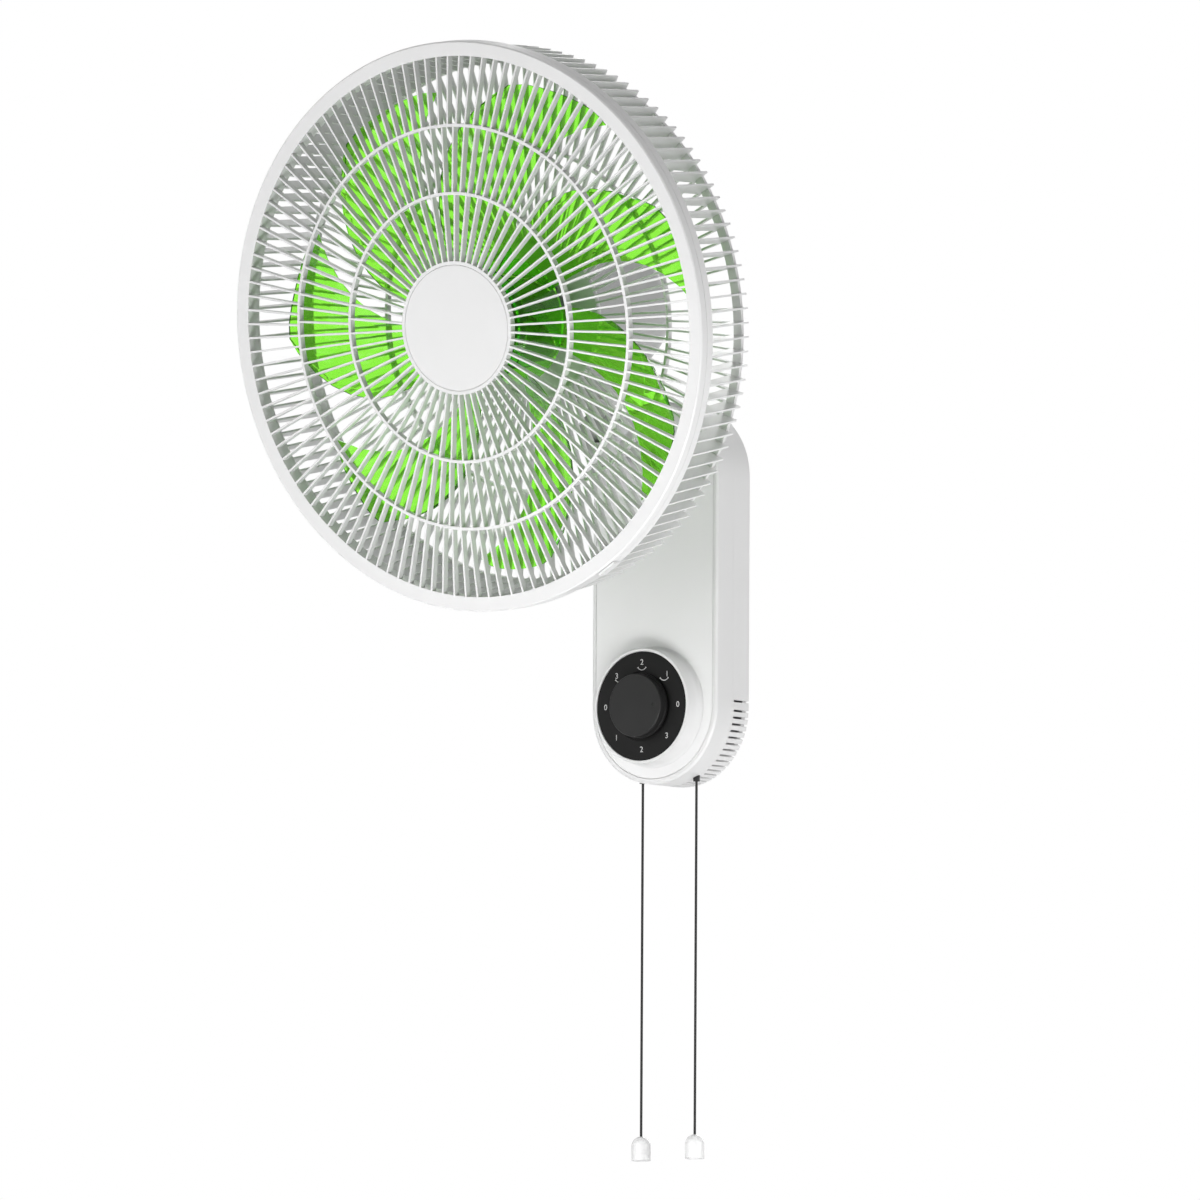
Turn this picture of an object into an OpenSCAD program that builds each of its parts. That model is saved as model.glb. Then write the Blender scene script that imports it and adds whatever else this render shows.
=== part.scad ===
// Wall mounted fan: a pill-shaped wall body with a dial and two pull cords,
// a curved arm, a tilting and swinging head, and a caged seven-blade impeller.
// Millimetres. +Z is up, +Y points at the wall, the wall face is the plane Y = 0,
// and the origin is the middle of the wall plate's screw holes.

/* [Wall body] */
// Width of the wall body, and twice the radius of its round ends
body_w = 119; // [114:0.5:126]
// Distance between the centres of the two round ends
body_span = 178; // [170:1:190]
// Depth of the closed wall body, from the wall to its front face
body_depth = 42.4; // [40:0.2:46]
// Depth of the back shell, up to the seam
back_depth = 21.2; // [20:0.2:23]
// Thickness of the moulded shells' walls
shell_wall = 2.4; // [2:0.1:3]
// Distance from the wall to the inside of the back shell's floor
floor_level = 5; // [4.6:0.1:6]
// Width of the bare rim round the front panel
rim_w = 4; // [3:0.1:5]
// Bevel on the front edge of the body
front_bevel = 1.6; // [0.8:0.1:2.4]
// Thickness of the front panel
panel_t = 2.2; // [1.8:0.1:2.6]
// Number of vent slots round the lower end
vent_count = 35; // [25:1:37]
// Width of one vent slot
vent_w = 1.6; // [1.2:0.1:2.2]
// Plain edge between the vent slots and the seam of the shells
vent_edge = 1.6; // [1.4:0.2:4]

/* [Wall plate] */
// Width of the steel wall plate
plate_w = 76; // [72:1:80]
// Height of the steel wall plate
plate_h = 196; // [190:1:204]
// Thickness of the steel wall plate
plate_t = 2; // [1.5:0.1:2.2]
// Distance between the wall screws, side to side
screw_pitch_x = 54; // [50:1:58]
// Distance between the wall screws, up and down
screw_pitch_z = 100; // [96:1:104]
// Diameter of the wall screw holes
screw_hole_d = 5.5; // [4.5:0.1:6.5]

/* [Dial and knob] */
// Height of the dial collar above the body's front
collar_h = 17; // [14:0.5:20]
// Outer radius of the collar's lip
collar_r = 44.6; // [42:0.2:46]
// How far the collar flares out where it meets the panel
collar_flare = 2.4; // [1:0.2:4]
// Width of the collar's lip
lip_w = 2.2; // [1.6:0.1:3]
// Radius of the knob
knob_r = 25; // [20:0.1:26]
// Height of the knob above the dial face
knob_h = 9.6; // [8:0.2:12]
// Diameter of the switch shaft that carries the knob
knob_shaft_d = 6; // [5:0.5:7]

/* [Arm and neck] */
// Outer radius of the curved arm
arm_r = 13.5; // [12.5:0.5:14.5]
// Wall thickness of the curved arm
arm_wall = 3; // [2.5:0.5:4]
// Bend radius of the arm, on its middle line
arm_bend = 24; // [22:1:28]
// Distance from the wall to the upright end of the arm
arm_reach = 112; // [106:1:118]
// Height of the tilt bolt above the arm's level stretch
tilt_rise = 33; // [31:0.5:36]
// Tilt of the head at rest, below level
tilt_rest = 8; // [6:0.5:10]
// Thickness of each ear of the arm's fork
ear_t = 6; // [5:0.5:7]
// Radius of the ears round the tilt bolt
ear_r = 11; // [10:0.5:12]
// Width of the knuckle's eye between the ears
eye_w = 14; // [12:0.5:15]
// Diameter of the tilt bolt
tilt_bolt_d = 8; // [7:0.5:9]
// Height of the fan's axis above the tilt bolt, square to the axis
head_rise = 91; // [89:0.5:95]
// Distance from the front of the guard's rim back to the swing axis
swing_back = 166.4; // [164:0.2:169]

/* [Guards] */
// Outer radius of the guard's rim
guard_r = 220; // [216:0.5:226]
// Width of the rim's front face
guard_rim_w = 11.2; // [10:0.2:13]
// Depth of each half of the rim
guard_rim_h = 7.5; // [6.5:0.1:8.5]
// Radius of the front guard's outer ring
ring_outer_r = 155.6; // [150:0.2:160]
// Radius of the front guard's inner ring
ring_inner_r = 103.5; // [98:0.2:108]
// Radius of the front guard's middle ring, round the cap
ring_cap_r = 51.3; // [49:0.2:53]
// Rise of the front guard's dome, from the rim to its virtual crown
guard_crown = 16.5; // [12:0.5:18]
// Thickness of each guard rib
rib_t = 1.5; // [1.2:0.1:1.8]
// Depth of the front guard's ribs and rings
rib_depth = 5.5; // [4:0.1:6]
// Thickness of the guard's rings
ring_t = 2.3; // [1.8:0.1:3]
// Ribs between the cap and the inner ring
ribs_inner = 58; // [48:2:64]
// Ribs between the inner ring and the outer ring
ribs_middle = 90; // [80:2:96]
// Ribs between the outer ring and the rim
ribs_outer = 120; // [100:2:124]
// Distance from the rim's front back to the rear guard's corner
cage_depth = 74; // [72:0.5:80]
// How far the rear guard's corner lies inside the rim's outer radius
cage_inset = 8; // [6:0.5:11]
// Radial depth of the rear guard's side fins
fin_depth = 9; // [7:0.5:11]
// Radius of the ring in the rear guard's back
rear_ring_r = 133; // [126:1:140]
// Ribs inside the rear guard's back ring
rear_ribs_inner = 80; // [60:2:90]
// How far the rear guard's back bulges, per millimetre of radius
rear_slope = 0.11; // [0.06:0.01:0.14]

/* [Impeller] */
// Radius of the impeller at its blade tips
blade_r = 190; // [180:0.5:194]
// Number of blades
blade_count = 7; // [5:1:7]
// Radius of the hub at its back edge
hub_r = 49; // [44:0.5:52]
// Depth of the hub
hub_depth = 48; // [44:0.5:52]
// Distance from the rim's front back to the middle of the blades
blade_mid_s = 35; // [33:0.5:38]
// Axial depth of a blade at the hub
blade_axial_root = 38; // [30:0.5:42]
// Axial depth of a blade at its tip
blade_axial_tip = 26; // [18:0.5:32]
// Thickness of a blade at the hub
blade_t_root = 3.2; // [2.4:0.1:4]
// Thickness of a blade at its tip
blade_t_tip = 1.8; // [1.4:0.1:2.6]
// Height of the curve across a blade
blade_camber = 5; // [2:0.5:8]

/* [Motor] */
// Outer radius of the motor cover
motor_r = 50; // [49:0.5:53]
// Thickness of the motor cover
cover_wall = 2.5; // [2:0.1:3]
// Distance from the rim's front back to the motor's front bracket
bracket_s = 90; // [89:0.5:92]
// Distance from the rim's front back to the end of the motor cover
motor_end_s = 220; // [218:0.5:224]
// Outer radius of the stator stack
stator_r = 45.5; // [44.5:0.5:46]
// Length of the stator stack
stator_l = 38; // [30:0.5:40]
// Diameter of the motor shaft
shaft_d = 8; // [7:0.5:10]

/* [Swing drive] */
// Diameter of the post that the head swings on
post_d = 14; // [12:0.5:15]
// Teeth of the fixed swing gear
gear_teeth = 48; // [48:12:48]
// Teeth of the swing motor's pinion
pinion_teeth = 12; // [12:12:12]
// Module of the swing teeth
gear_module = 1; // [0.9:0.05:1]
// Radius of the swing motor's can
swing_can_r = 17.5; // [15:0.5:18]

/* [Pull cords] */
// Distance between the two pull cords
cord_pitch = 51; // [48:0.5:54]
// Diameter of a pull cord
cord_d = 2; // [1.6:0.1:2.2]
// Height of the cords' lower ends, measured down from the origin
cord_drop = 419; // [400:1:440]
// Diameter of a pull
pull_d = 15; // [13:0.5:17]
// Length of a pull
pull_l = 19; // [17:0.5:22]
// Travel of a pull
pull_travel = 8; // [6:0.5:8]

/* [Clearances] */
// Gap between mouldings that only meet
seam_gap = 0.3; // [0.2:0.05:0.4]
// Running clearance on the radius of a pin or shaft
run_gap = 0.05; // [0.03:0.01:0.08]
// Clearance on the radius of a screw in its hole
screw_gap = 0.1; // [0.05:0.05:0.2]

/* [Hidden] */
$fn = 96;
// Overrun of every cut past the face that it opens
over = 1;

// Body
body_r = body_w / 2;
dial_z = -body_span / 2;
arm_z = body_span / 2;
recess_gap = seam_gap;
vent_pitch_angle = 5.1;
vent_top_rise = 4.1;
vent_cord_gap = 0.9;
vent_cord_room_angle = 1.5 * vent_pitch_angle;
// Screws that hold the two shells together
shell_screw_r = 1.5;
shell_screw_head_r = 3.2;
shell_screw_head_h = 2;
boss_r = 4.6;
boss_share_x = 0.72;
shell_screw_x = body_r * boss_share_x;
shell_screw_rows_share = [-0.3, 0.3];
front_skin = 2;
pocket_depth = panel_t + seam_gap;
// Hooks of the wall plate
hook_w = 10;
hook_t = 1.6;
hook_h = 7;
hook_reach = 4.6;
hook_x = 12;
hook_rows_share = [-0.2, 0.26];
plate_corner = 10;
inlet_r = 6;
inlet_plate_share = 1.5;
inlet_z = -24;
screw_pocket_r = 5.5;

// Dial
lip_depth = 0.7;
face_t = 2.4;
face_r = collar_r - lip_w - seam_gap;
collar_wall = 3;
collar_foot_h = 5;
dial_front = body_depth + collar_h;
face_level = dial_front - lip_depth;
knob_shaft_r = knob_shaft_d / 2;
knob_edge = 0.6;
knob_well_gap = 2;
knob_well_depth = 1.4;
knob_gap = 0.5;
knob_skirt_h = 2.2;
knob_skirt_step = 0.6;
dimple_r = 1.6;
dimple_depth = 0.5;
dimple_share = 0.72;
switch_w = 32;
switch_depth = 15;
switch_back = body_depth - pocket_depth - front_skin - switch_depth;
switch_nose_r = 8;
switch_nose_h = 6;

// Electrical pieces in the body
block_size = [44, 15, 17];
block_place = [0, 24];
block_screws = 5;
block_screw_pitch = 8;
block_screw_r = 2.2;
block_screw_depth = 4;
cap_size = [26, 18, 34];
cap_place = [32, -24];
cap_edge_r = 3;
pull_x = cord_pitch / 2;
pull_switch_w = 20;
// Foot of the body where a cord leaves it
body_foot_z = dial_z - sqrt(body_r * body_r - pull_x * pull_x);
pull_switch_rise = 14.8;
pull_switch_h = 21;
pull_switch_bottom = body_foot_z + pull_switch_rise;
pull_switch_top = pull_switch_bottom + pull_switch_h;
pull_switch_half = 10;
slider_r = 3;
slider_gap = 0.3;
slider_h = 10;
slider_rise = 6;
slider_bottom = pull_switch_bottom + slider_rise;
slider_room = 6;
bush_r = 2.6;
bush_gap = 0.1;
bush_bore_r = 1.5;
bush_rise = 6.6;
bush_drop = 3.2;
bush_top = body_foot_z + bush_rise;
bush_bottom = body_foot_z - bush_drop;
bush_flange_r = 3.8;
bush_flange_h = 1.6;

// Arm and fork
flange_w = 70;
flange_h = 56;
flange_t = 4;
flange_level = 12;
flange_screw_x = 26;
flange_screw_z = 19;
arm_screw_r = 2.4;
arm_screw_head_r = 4.2;
arm_screw_head_h = 2.8;
arm_boss_r = 6;
trim_r = 21;
trim_h = 5;
trim_bevel = 1.6;
tilt_y = -arm_reach;
tilt_z = arm_z + tilt_rise;
tilt_bolt_r = tilt_bolt_d / 2;
fork_gap = 0.3;
ear_inner_x = eye_w / 2 + fork_gap;
ear_outer_x = ear_inner_x + ear_t;
eye_r = ear_r - fork_gap;
slot_floor_gap = 0.5;
washer_t = 1.2;
washer_r = 9;
bolt_head_r = 6.8;
bolt_head_h = 5;
bolt_tail = 2.5;
nut_h = 6;
hex_sides = 6;

// Neck, measured up from the tilt bolt along the swing axis
stem_depth = 15;
knuckle_top = 24;
knuckle_flange_h = 6;
knuckle_flange_r = 20;
post_foot = 18.5;
post_top = 38.4;
post_r = post_d / 2;
thrust_t = 1.2;
thrust_r = 16;
lid_level = knuckle_top + thrust_t + seam_gap;
lid_t = 4;
gear_gap = 0.5;
gear_level = lid_level + lid_t + gear_gap;
gear_t = 5;
clip_gap = 0.2;
clip_level = gear_level + gear_t + clip_gap;
clip_t = 1.4;
clip_r = 10.4;
gear_pitch_r = gear_module * gear_teeth / 2;
pinion_pitch_r = gear_module * pinion_teeth / 2;
gear_centres = gear_pitch_r + pinion_pitch_r;
tooth_root_share = 0.27;
tooth_tip_share = 0.10;
tooth_up_share = 0.8;
tooth_down_share = 1.15;
pinion_shaft_r = 2.5;
swing_can_gap = 3.2;
swing_can_level = gear_level + gear_t + swing_can_gap;
swing_can_h = 16;
swing_boss_r = 6;
swing_boss_h = 1.6;
sector_angle = 60;
gear_hub_r = 13;
case_r = 29;
case_run = 23;
case_top = 57;
shelf_t = 2;
shelf_hole_r = 9.2;
shelf_front = 12;
lid_screw_r = 1.5;
lid_screw_head_r = 3;
lid_screw_head_h = 1.8;
lid_screw_l = 10.4;
lid_boss_r = 3.6;
lid_boss_h = 7.5;
lid_boss_inset = 5;
lid_boss_angle = 50;

// Guards
rim_skin = 2;
rim_edge = 1;
front_inner_r = guard_r - guard_rim_w;
cap_gap = seam_gap;
cap_t = 2.2;
cap_ring_t = 2.5;
cap_ledge_w = 4;
cap_ledge_t = 2;
cap_r = ring_cap_r - cap_ring_t - cap_gap;
cage_top_s = 2 * guard_rim_h;
fin_foot_r = guard_r - rim_skin;
// Ring that joins the fins just inside the rear guard's corner
cage_corner_r = guard_r - cage_inset;
corner_band_inset = 4.8;
corner_band_r = cage_corner_r - corner_band_inset;
corner_band_w = 7.4;
corner_band_t = 3;
// What each window leaves at a bend or a ring's wall
window_lip = 0.2;
rear_rib_depth = 4.5;
plate_r = 62;
centre_plate_t = 3;
nose_r = 17.5;
nose_gap = 0.4;
nose_top_s = 72;
guard_nut_r = 33;
guard_nut_h = 8;
guard_nut_grips = 10;
grip_r = 3.4;
clip_angle = -60;
clip_l = 17;
clip_h = 8.4;
latch_t = 1.6;
latch_gap = 0.3;

// Impeller
hub_front_s = 10;
hub_back_s = hub_front_s + hub_depth;
hub_wall = 2.6;
hub_taper = 4;
hub_edge = 5;
hub_boss_r = 11;
hub_boss_l = 30;
hub_ribs = 7;
hub_rib_t = 1.6;
blade_phase = 53.7;
blade_foot_r = 45.5;
lead_root_angle = 25;
lead_sweep_angle = 26;
lead_power = 2.2;
trail_root_angle = 59;
trail_sweep_angle = 31;
trail_power = 2;
tip_round_lead = 5;
tip_round_trail = 12;
tip_round_power = 5;
blade_edge_share = 0.45;
span_steps = 10;
chord_steps = 8;
nut_r = 16;
nut_front_s = -4;
nut_bore_l = 12;
nut_edge = 3;
nut_grips = 8;
nut_grip_r = 1.8;
nut_bore_gap = 0.03;
pin_r = 1.2;
pin_l = 17;
pin_gap = 2;
pin_s = hub_front_s + hub_boss_l + pin_gap;
pin_slot_h = 4.4;

// Motor
bracket_wall = 3;
bracket_floor = 4;
bracket_inset = 3;
bracket_r = motor_r - bracket_inset;
bracket_l = 24;
bracket_windows = 8;
bracket_window_w = 13;
bracket_window_l = 11;
cover_lap = 16;
cover_s = bracket_s + cover_lap;
dome_l = 32;
stator_s = bracket_s + bracket_l;
stator_end_s = stator_s + stator_l;
stator_bore_r = 24;
slot_count = 16;
slot_circle_r = 30;
slot_hole_r = 3.4;
slot_mouth_w = 2;
winding_r = 34.5;
winding_bore_r = 25.5;
winding_l = 8;
winding_edge = 3;
rotor_r = 23.6;
rear_bracket_s = 168;
rear_bracket_t = 4;
rear_seat_l = 8;
front_bearing_s = 84;
bearing_l = 8;
bearing_r = 9;
bearing_wall = 3;
shaft_r = shaft_d / 2;
shaft_front_s = 0;
shaft_back_s = 180;
bolt_r = 2;
bolt_circle_r = 41.2;
motor_bolt_head_r = 3.6;
motor_bolt_head_h = 2.4;
motor_bolt_count = 4;
cover_vents = 9;
cover_vent_w = 2.4;
cover_vent_l = 26;
cover_vent_step_angle = 9;

// Cords
cord_sides = 8;
cord_r = cord_d / 2;
bell_wall = 2.2;
bell_top_r = pull_d / 2;
// Points that a cord passes through, as shares of the way down
cord_shares = [0, 0.05, 0.13, 0.23, 0.33, 0.43, 0.53, 0.63, 0.73, 0.83, 0.93, 1];

// Frames: each one's third axis is its own main direction

// On the wall: x to the right, y up, z out from the wall
module wall_frame() rotate([90, 0, 0]) children();

// On the tilt bolt: y up along the swing axis, z forward along the fan's axis
module neck_frame() translate([0, tilt_y, tilt_z]) rotate([90 + tilt_rest, 0, 0]) children();

// On the fan's axis: the origin in the rim's front plane, z forward
module head_frame() neck_frame() translate([0, head_rise, swing_back]) children();

// Along the swing axis: z up from the tilt bolt, x to the right, y back
module swing_frame() neck_frame() rotate([-90, 0, 0]) children();

// Shared shapes
module pill(r) {
    for (side = [-1, 1]) translate([0, side * body_span / 2]) circle(r);
    square([2 * r, body_span], center = true);
}

// A pill whose side walls lean in from radius r1 to radius r2 over height h
module pill_bevel(r1, r2, h) {
    for (side = [-1, 1])
        translate([0, side * body_span / 2]) cylinder(r1 = r1, r2 = r2, h = h);
    rotate([90, 0, 0]) linear_extrude(body_span, center = true)
        polygon([[-r1, 0], [r1, 0], [r2, h], [-r2, h]]);
}

module ring(r_out, r_in, h) difference() {
    cylinder(r = r_out, h = h);
    translate([0, 0, -over]) cylinder(r = r_in, h = h + 2 * over);
}

module rounded_plate(w, h, r, t) {
    for (x = [-1, 1], y = [-1, 1])
        translate([x * (w / 2 - r), y * (h / 2 - r), 0]) cylinder(r = r, h = t);
    translate([-w / 2, -h / 2 + r, 0]) cube([w, h - 2 * r, t]);
    translate([-w / 2 + r, -h / 2, 0]) cube([w - 2 * r, h, t]);
}

module at_shell_screws()
    for (x = [-1, 1], row = shell_screw_rows_share)
        translate([x * shell_screw_x, row * body_span, 0]) children();

module at_arm_screws()
    for (x = [-1, 1], y = [-1, 1])
        translate([x * flange_screw_x, arm_z + y * flange_screw_z, 0]) children();

module at_wall_screws()
    for (x = [-1, 1], y = [-1, 1])
        translate([x * screw_pitch_x / 2, y * screw_pitch_z / 2, 0]) children();

module at_hooks()
    for (x = [-1, 1], row = hook_rows_share)
        translate([x * hook_x, row * plate_h, 0]) children();

// Wall body
module wall_plate() color("silver") wall_frame() {
    difference() {
        rounded_plate(plate_w, plate_h, plate_corner, plate_t);
        at_wall_screws() translate([0, 0, -over])
            cylinder(d = screw_hole_d, h = plate_t + 2 * over);
        translate([0, inlet_z, -over]) cylinder(r = inlet_r * inlet_plate_share, h = plate_t + 2 * over);
    }
    at_hooks() {
        translate([-hook_w / 2, 0, plate_t - seam_gap]) cube([hook_w, hook_t, hook_reach + hook_t]);
        translate([-hook_w / 2, 0, plate_t + hook_reach - seam_gap]) cube([hook_w, hook_h, hook_t]);
    }
}

module back_shell() color("whitesmoke") wall_frame() {
    difference() {
        union() {
            difference() {
                linear_extrude(back_depth) pill(body_r);
                translate([0, 0, floor_level]) linear_extrude(back_depth) pill(body_r - shell_wall);
            }
            at_shell_screws() translate([0, 0, floor_level - over])
                cylinder(r = boss_r, h = back_depth - floor_level + over - seam_gap);
            at_arm_screws() translate([0, 0, floor_level - over])
                cylinder(r = arm_boss_r, h = flange_level - floor_level + over);
        }
        // Recess for the wall plate
        translate([0, 0, -over])
            rounded_plate(plate_w + 2 * recess_gap, plate_h + 2 * recess_gap,
                plate_corner, plate_t + seam_gap + over);
        // Slots for the plate's hooks
        at_hooks() translate([-hook_w / 2 - seam_gap, -seam_gap, 0])
            cube([hook_w + 2 * seam_gap, hook_h + 3 * seam_gap, floor_level + over]);
        // Room for the heads of the wall screws
        at_wall_screws() translate([0, 0, -over]) cylinder(r = screw_pocket_r, h = floor_level + 2 * over);
        // Mains inlet
        translate([0, inlet_z, -over]) cylinder(r = inlet_r, h = floor_level + 2 * over);
        // Screws
        at_shell_screws() {
            translate([0, 0, -over])
                cylinder(r = shell_screw_r + screw_gap, h = back_depth + 2 * over);
            translate([0, 0, -over])
                cylinder(r = shell_screw_head_r + seam_gap, h = shell_screw_head_h + seam_gap + over);
        }
        at_arm_screws() translate([0, 0, floor_level - over])
            cylinder(r = arm_screw_r + screw_gap, h = flange_level);
        // Vent slots round the lower end
        for (i = [0 : vent_count - 1]) {
            turn = (i - (vent_count - 1) / 2) * vent_pitch_angle;
            translate([0, dial_z, 0]) rotate([0, 0, -90 + turn]) vent_slot(0, vent_end(turn));
        }
        // The topmost slot of each side is above the lower end's round part
        for (side = [-1, 1])
            translate([0, dial_z, 0]) rotate([0, 0, -90 + side * 90])
                vent_slot(side * vent_top_rise, back_depth - vent_edge);
        cord_holes();
    }
}

// The two cord holes, half in each shell
// The slots beside the cord holes end behind them
function vent_end(turn) =
    abs(abs(turn) - asin(pull_x / body_r)) < vent_cord_room_angle
        ? back_depth - bush_r - bush_gap - vent_cord_gap
        : back_depth - vent_edge;

module vent_slot(offset, end)
    translate([body_r - shell_wall - seam_gap, offset - vent_w / 2, -over])
        cube([shell_wall + seam_gap + over, vent_w, end + over]);

module cord_holes()
    for (x = [-1, 1])
        translate([x * pull_x, bush_bottom - over, back_depth]) rotate([-90, 0, 0])
            cylinder(r = bush_r + bush_gap, h = bush_top - bush_bottom + 2 * over);

module front_shell() color("whitesmoke") wall_frame() {
    side_h = body_depth - back_depth - front_bevel;
    difference() {
        union() {
            difference() {
                union() {
                    translate([0, 0, back_depth]) linear_extrude(side_h) pill(body_r);
                    translate([0, 0, body_depth - front_bevel])
                        pill_bevel(body_r, body_r - front_bevel, front_bevel);
                }
                translate([0, 0, back_depth - over])
                    linear_extrude(body_depth - pocket_depth - front_skin - back_depth + over)
                        pill(body_r - shell_wall);
            }
            at_shell_screws() translate([0, 0, back_depth + seam_gap])
                cylinder(r = boss_r, h = body_depth - pocket_depth - back_depth - 2 * seam_gap);
        }
        // Pocket for the front panel
        translate([0, 0, body_depth - pocket_depth]) linear_extrude(pocket_depth + over)
            pill(body_r - rim_w);
        at_shell_screws() translate([0, 0, back_depth - over])
            cylinder(r = shell_screw_r + screw_gap, h = body_depth - pocket_depth - front_skin - back_depth);
        // Openings for the arm and for the switch
        translate([0, arm_z, back_depth]) cylinder(r = arm_r + seam_gap, h = body_depth);
        translate([0, dial_z, back_depth]) cylinder(r = switch_nose_r + seam_gap, h = body_depth);
        cord_holes();
    }
}

module front_panel() color("gainsboro") wall_frame() difference() {
    translate([0, 0, body_depth - panel_t]) linear_extrude(panel_t) pill(body_r - rim_w - seam_gap);
    translate([0, arm_z, back_depth]) cylinder(r = arm_r + seam_gap, h = body_depth);
    translate([0, dial_z, back_depth]) cylinder(r = switch_nose_r + seam_gap, h = body_depth);
}

module shell_screws() color("silver") wall_frame() at_shell_screws() {
    translate([0, 0, seam_gap]) cylinder(r = shell_screw_head_r, h = shell_screw_head_h);
    translate([0, 0, seam_gap]) cylinder(r = shell_screw_r, h = back_depth + floor_level * 2);
}

// Dial
module dial_collar() color("white") wall_frame() translate([0, dial_z, body_depth]) rotate_extrude()
    polygon(concat(
        [[collar_r - lip_w - collar_wall, 0], [collar_r + collar_flare, 0]],
        [for (a = [0 : 15 : 90])
            [collar_r + collar_flare * (1 - sin(a)), seam_gap + collar_foot_h * (1 - cos(a))]],
        [[collar_r, collar_h - seam_gap], [collar_r - seam_gap, collar_h],
         [collar_r - lip_w, collar_h], [collar_r - lip_w, collar_h - lip_depth - face_t],
         [collar_r - lip_w - collar_wall, collar_h - lip_depth - face_t]]));

module dial_face() color("#212121") wall_frame() translate([0, dial_z, face_level - face_t])
    difference() {
        ring(face_r, switch_nose_r + seam_gap, face_t);
        // Well round the foot of the knob
        translate([0, 0, face_t - knob_well_depth]) cylinder(r = knob_r + knob_well_gap, h = face_t);
    }

module rotary_switch() color("dimgray") wall_frame() translate([0, dial_z, switch_back]) difference() {
    union() {
        rounded_plate(switch_w, switch_w, knob_edge, switch_depth);
        translate([0, 0, switch_depth - over])
            cylinder(r = switch_nose_r, h = body_depth - switch_back - switch_depth + switch_nose_h + over);
    }
    translate([0, 0, switch_depth / 2]) cylinder(r = knob_shaft_r + run_gap, h = body_depth);
}

module knob_shaft() color("silver") wall_frame()
    translate([0, dial_z, switch_back + switch_depth / 2 + seam_gap])
        cylinder(r = knob_shaft_r, h = face_level + knob_h / 2 - switch_back - switch_depth / 2 - seam_gap);

module knob() color("#2e2e2e") wall_frame() translate([0, dial_z, face_level + knob_gap]) difference() {
    union() {
        cylinder(r = knob_r, h = knob_skirt_h);
        translate([0, 0, knob_skirt_h])
            cylinder(r = knob_r - knob_skirt_step, h = knob_h - knob_gap - knob_skirt_h - knob_edge);
        translate([0, 0, knob_h - knob_gap - knob_edge])
            cylinder(r1 = knob_r - knob_skirt_step, r2 = knob_r - knob_skirt_step - knob_edge, h = knob_edge);
    }
    translate([0, 0, -over]) cylinder(r = knob_shaft_r + run_gap, h = knob_h / 2 + over);
    translate([knob_r * dimple_share, 0, knob_h - knob_gap - dimple_depth])
        cylinder(r = dimple_r, h = dimple_depth + over);
}

// Electrical pieces
module terminal_block() color("ivory") wall_frame()
    translate([block_place[0] - block_size[0] / 2, block_place[1] - block_size[1] / 2, floor_level]) difference() {
        cube(block_size);
        for (i = [0 : block_screws - 1])
            translate([block_size[0] / 2 + (i - (block_screws - 1) / 2) * block_screw_pitch,
                    block_size[1] / 2, block_size[2] - block_screw_depth])
                cylinder(r = block_screw_r, h = block_screw_depth + over);
    }

module run_capacitor() color("#303030") wall_frame() translate([cap_place[0], cap_place[1], floor_level])
    rounded_plate(cap_size[0], cap_size[2], cap_edge_r, cap_size[1]);

module pull_switch(side) color("dimgray") wall_frame() difference() {
    translate([side * pull_x - pull_switch_w / 2, pull_switch_bottom, floor_level])
        cube([pull_switch_w, pull_switch_top - pull_switch_bottom,
            back_depth + pull_switch_half - floor_level]);
    translate([side * pull_x, pull_switch_bottom - over, back_depth]) rotate([-90, 0, 0])
        cylinder(r = slider_r + slider_gap,
            h = slider_bottom + slider_h - pull_switch_bottom + slider_room / 2 + over);
}

module pull_slider(side) color("ivory") wall_frame()
    translate([side * pull_x, slider_bottom, back_depth]) rotate([-90, 0, 0])
        cylinder(r = slider_r, h = slider_h);

module cord_bush(side) color("white") wall_frame()
    translate([side * pull_x, 0, back_depth]) rotate([-90, 0, 0]) difference() {
        union() {
            translate([0, 0, bush_bottom]) cylinder(r = bush_r, h = bush_top - bush_bottom);
            translate([0, 0, bush_top - bush_flange_h]) cylinder(r = bush_flange_r, h = bush_flange_h);
        }
        translate([0, 0, bush_bottom - over])
            cylinder(r = bush_bore_r, h = bush_top - bush_bottom + 2 * over);
    }

// A tube swept straight down through the cord's points
module pull_cord(side) color("#202020") {
    rings = len(cord_shares);
    heights = [for (share = cord_shares) slider_bottom - share * (cord_drop + slider_bottom)];
    points = [for (z = heights, i = [0 : cord_sides - 1])
        [side * pull_x + cord_r * cos(i * 360 / cord_sides),
         -back_depth + cord_r * sin(i * 360 / cord_sides), z]];
    sides = [for (k = [0 : rings - 2], i = [0 : cord_sides - 1])
        let (a = k * cord_sides + i, b = k * cord_sides + (i + 1) % cord_sides)
        [a, b, b + cord_sides, a + cord_sides]];
    top = [[for (i = [cord_sides - 1 : -1 : 0]) i]];
    bottom = [[for (i = [0 : cord_sides - 1]) (rings - 1) * cord_sides + i]];
    polyhedron(points, concat(sides, top, bottom));
}

module pull_bell(side) color("white") translate([side * pull_x, -back_depth, -cord_drop - pull_l])
    difference() {
        rotate_extrude() polygon(concat(
            [[0, 0], [bell_top_r, 0]],
            [for (a = [0 : 10 : 90])
                [bell_top_r * (a < 90 ? cos(a) : 0), pull_l - bell_top_r + bell_top_r * sin(a)]]));
        translate([0, 0, -over]) cylinder(r = bell_top_r - bell_wall, h = pull_l / 2 + over);
    }

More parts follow.
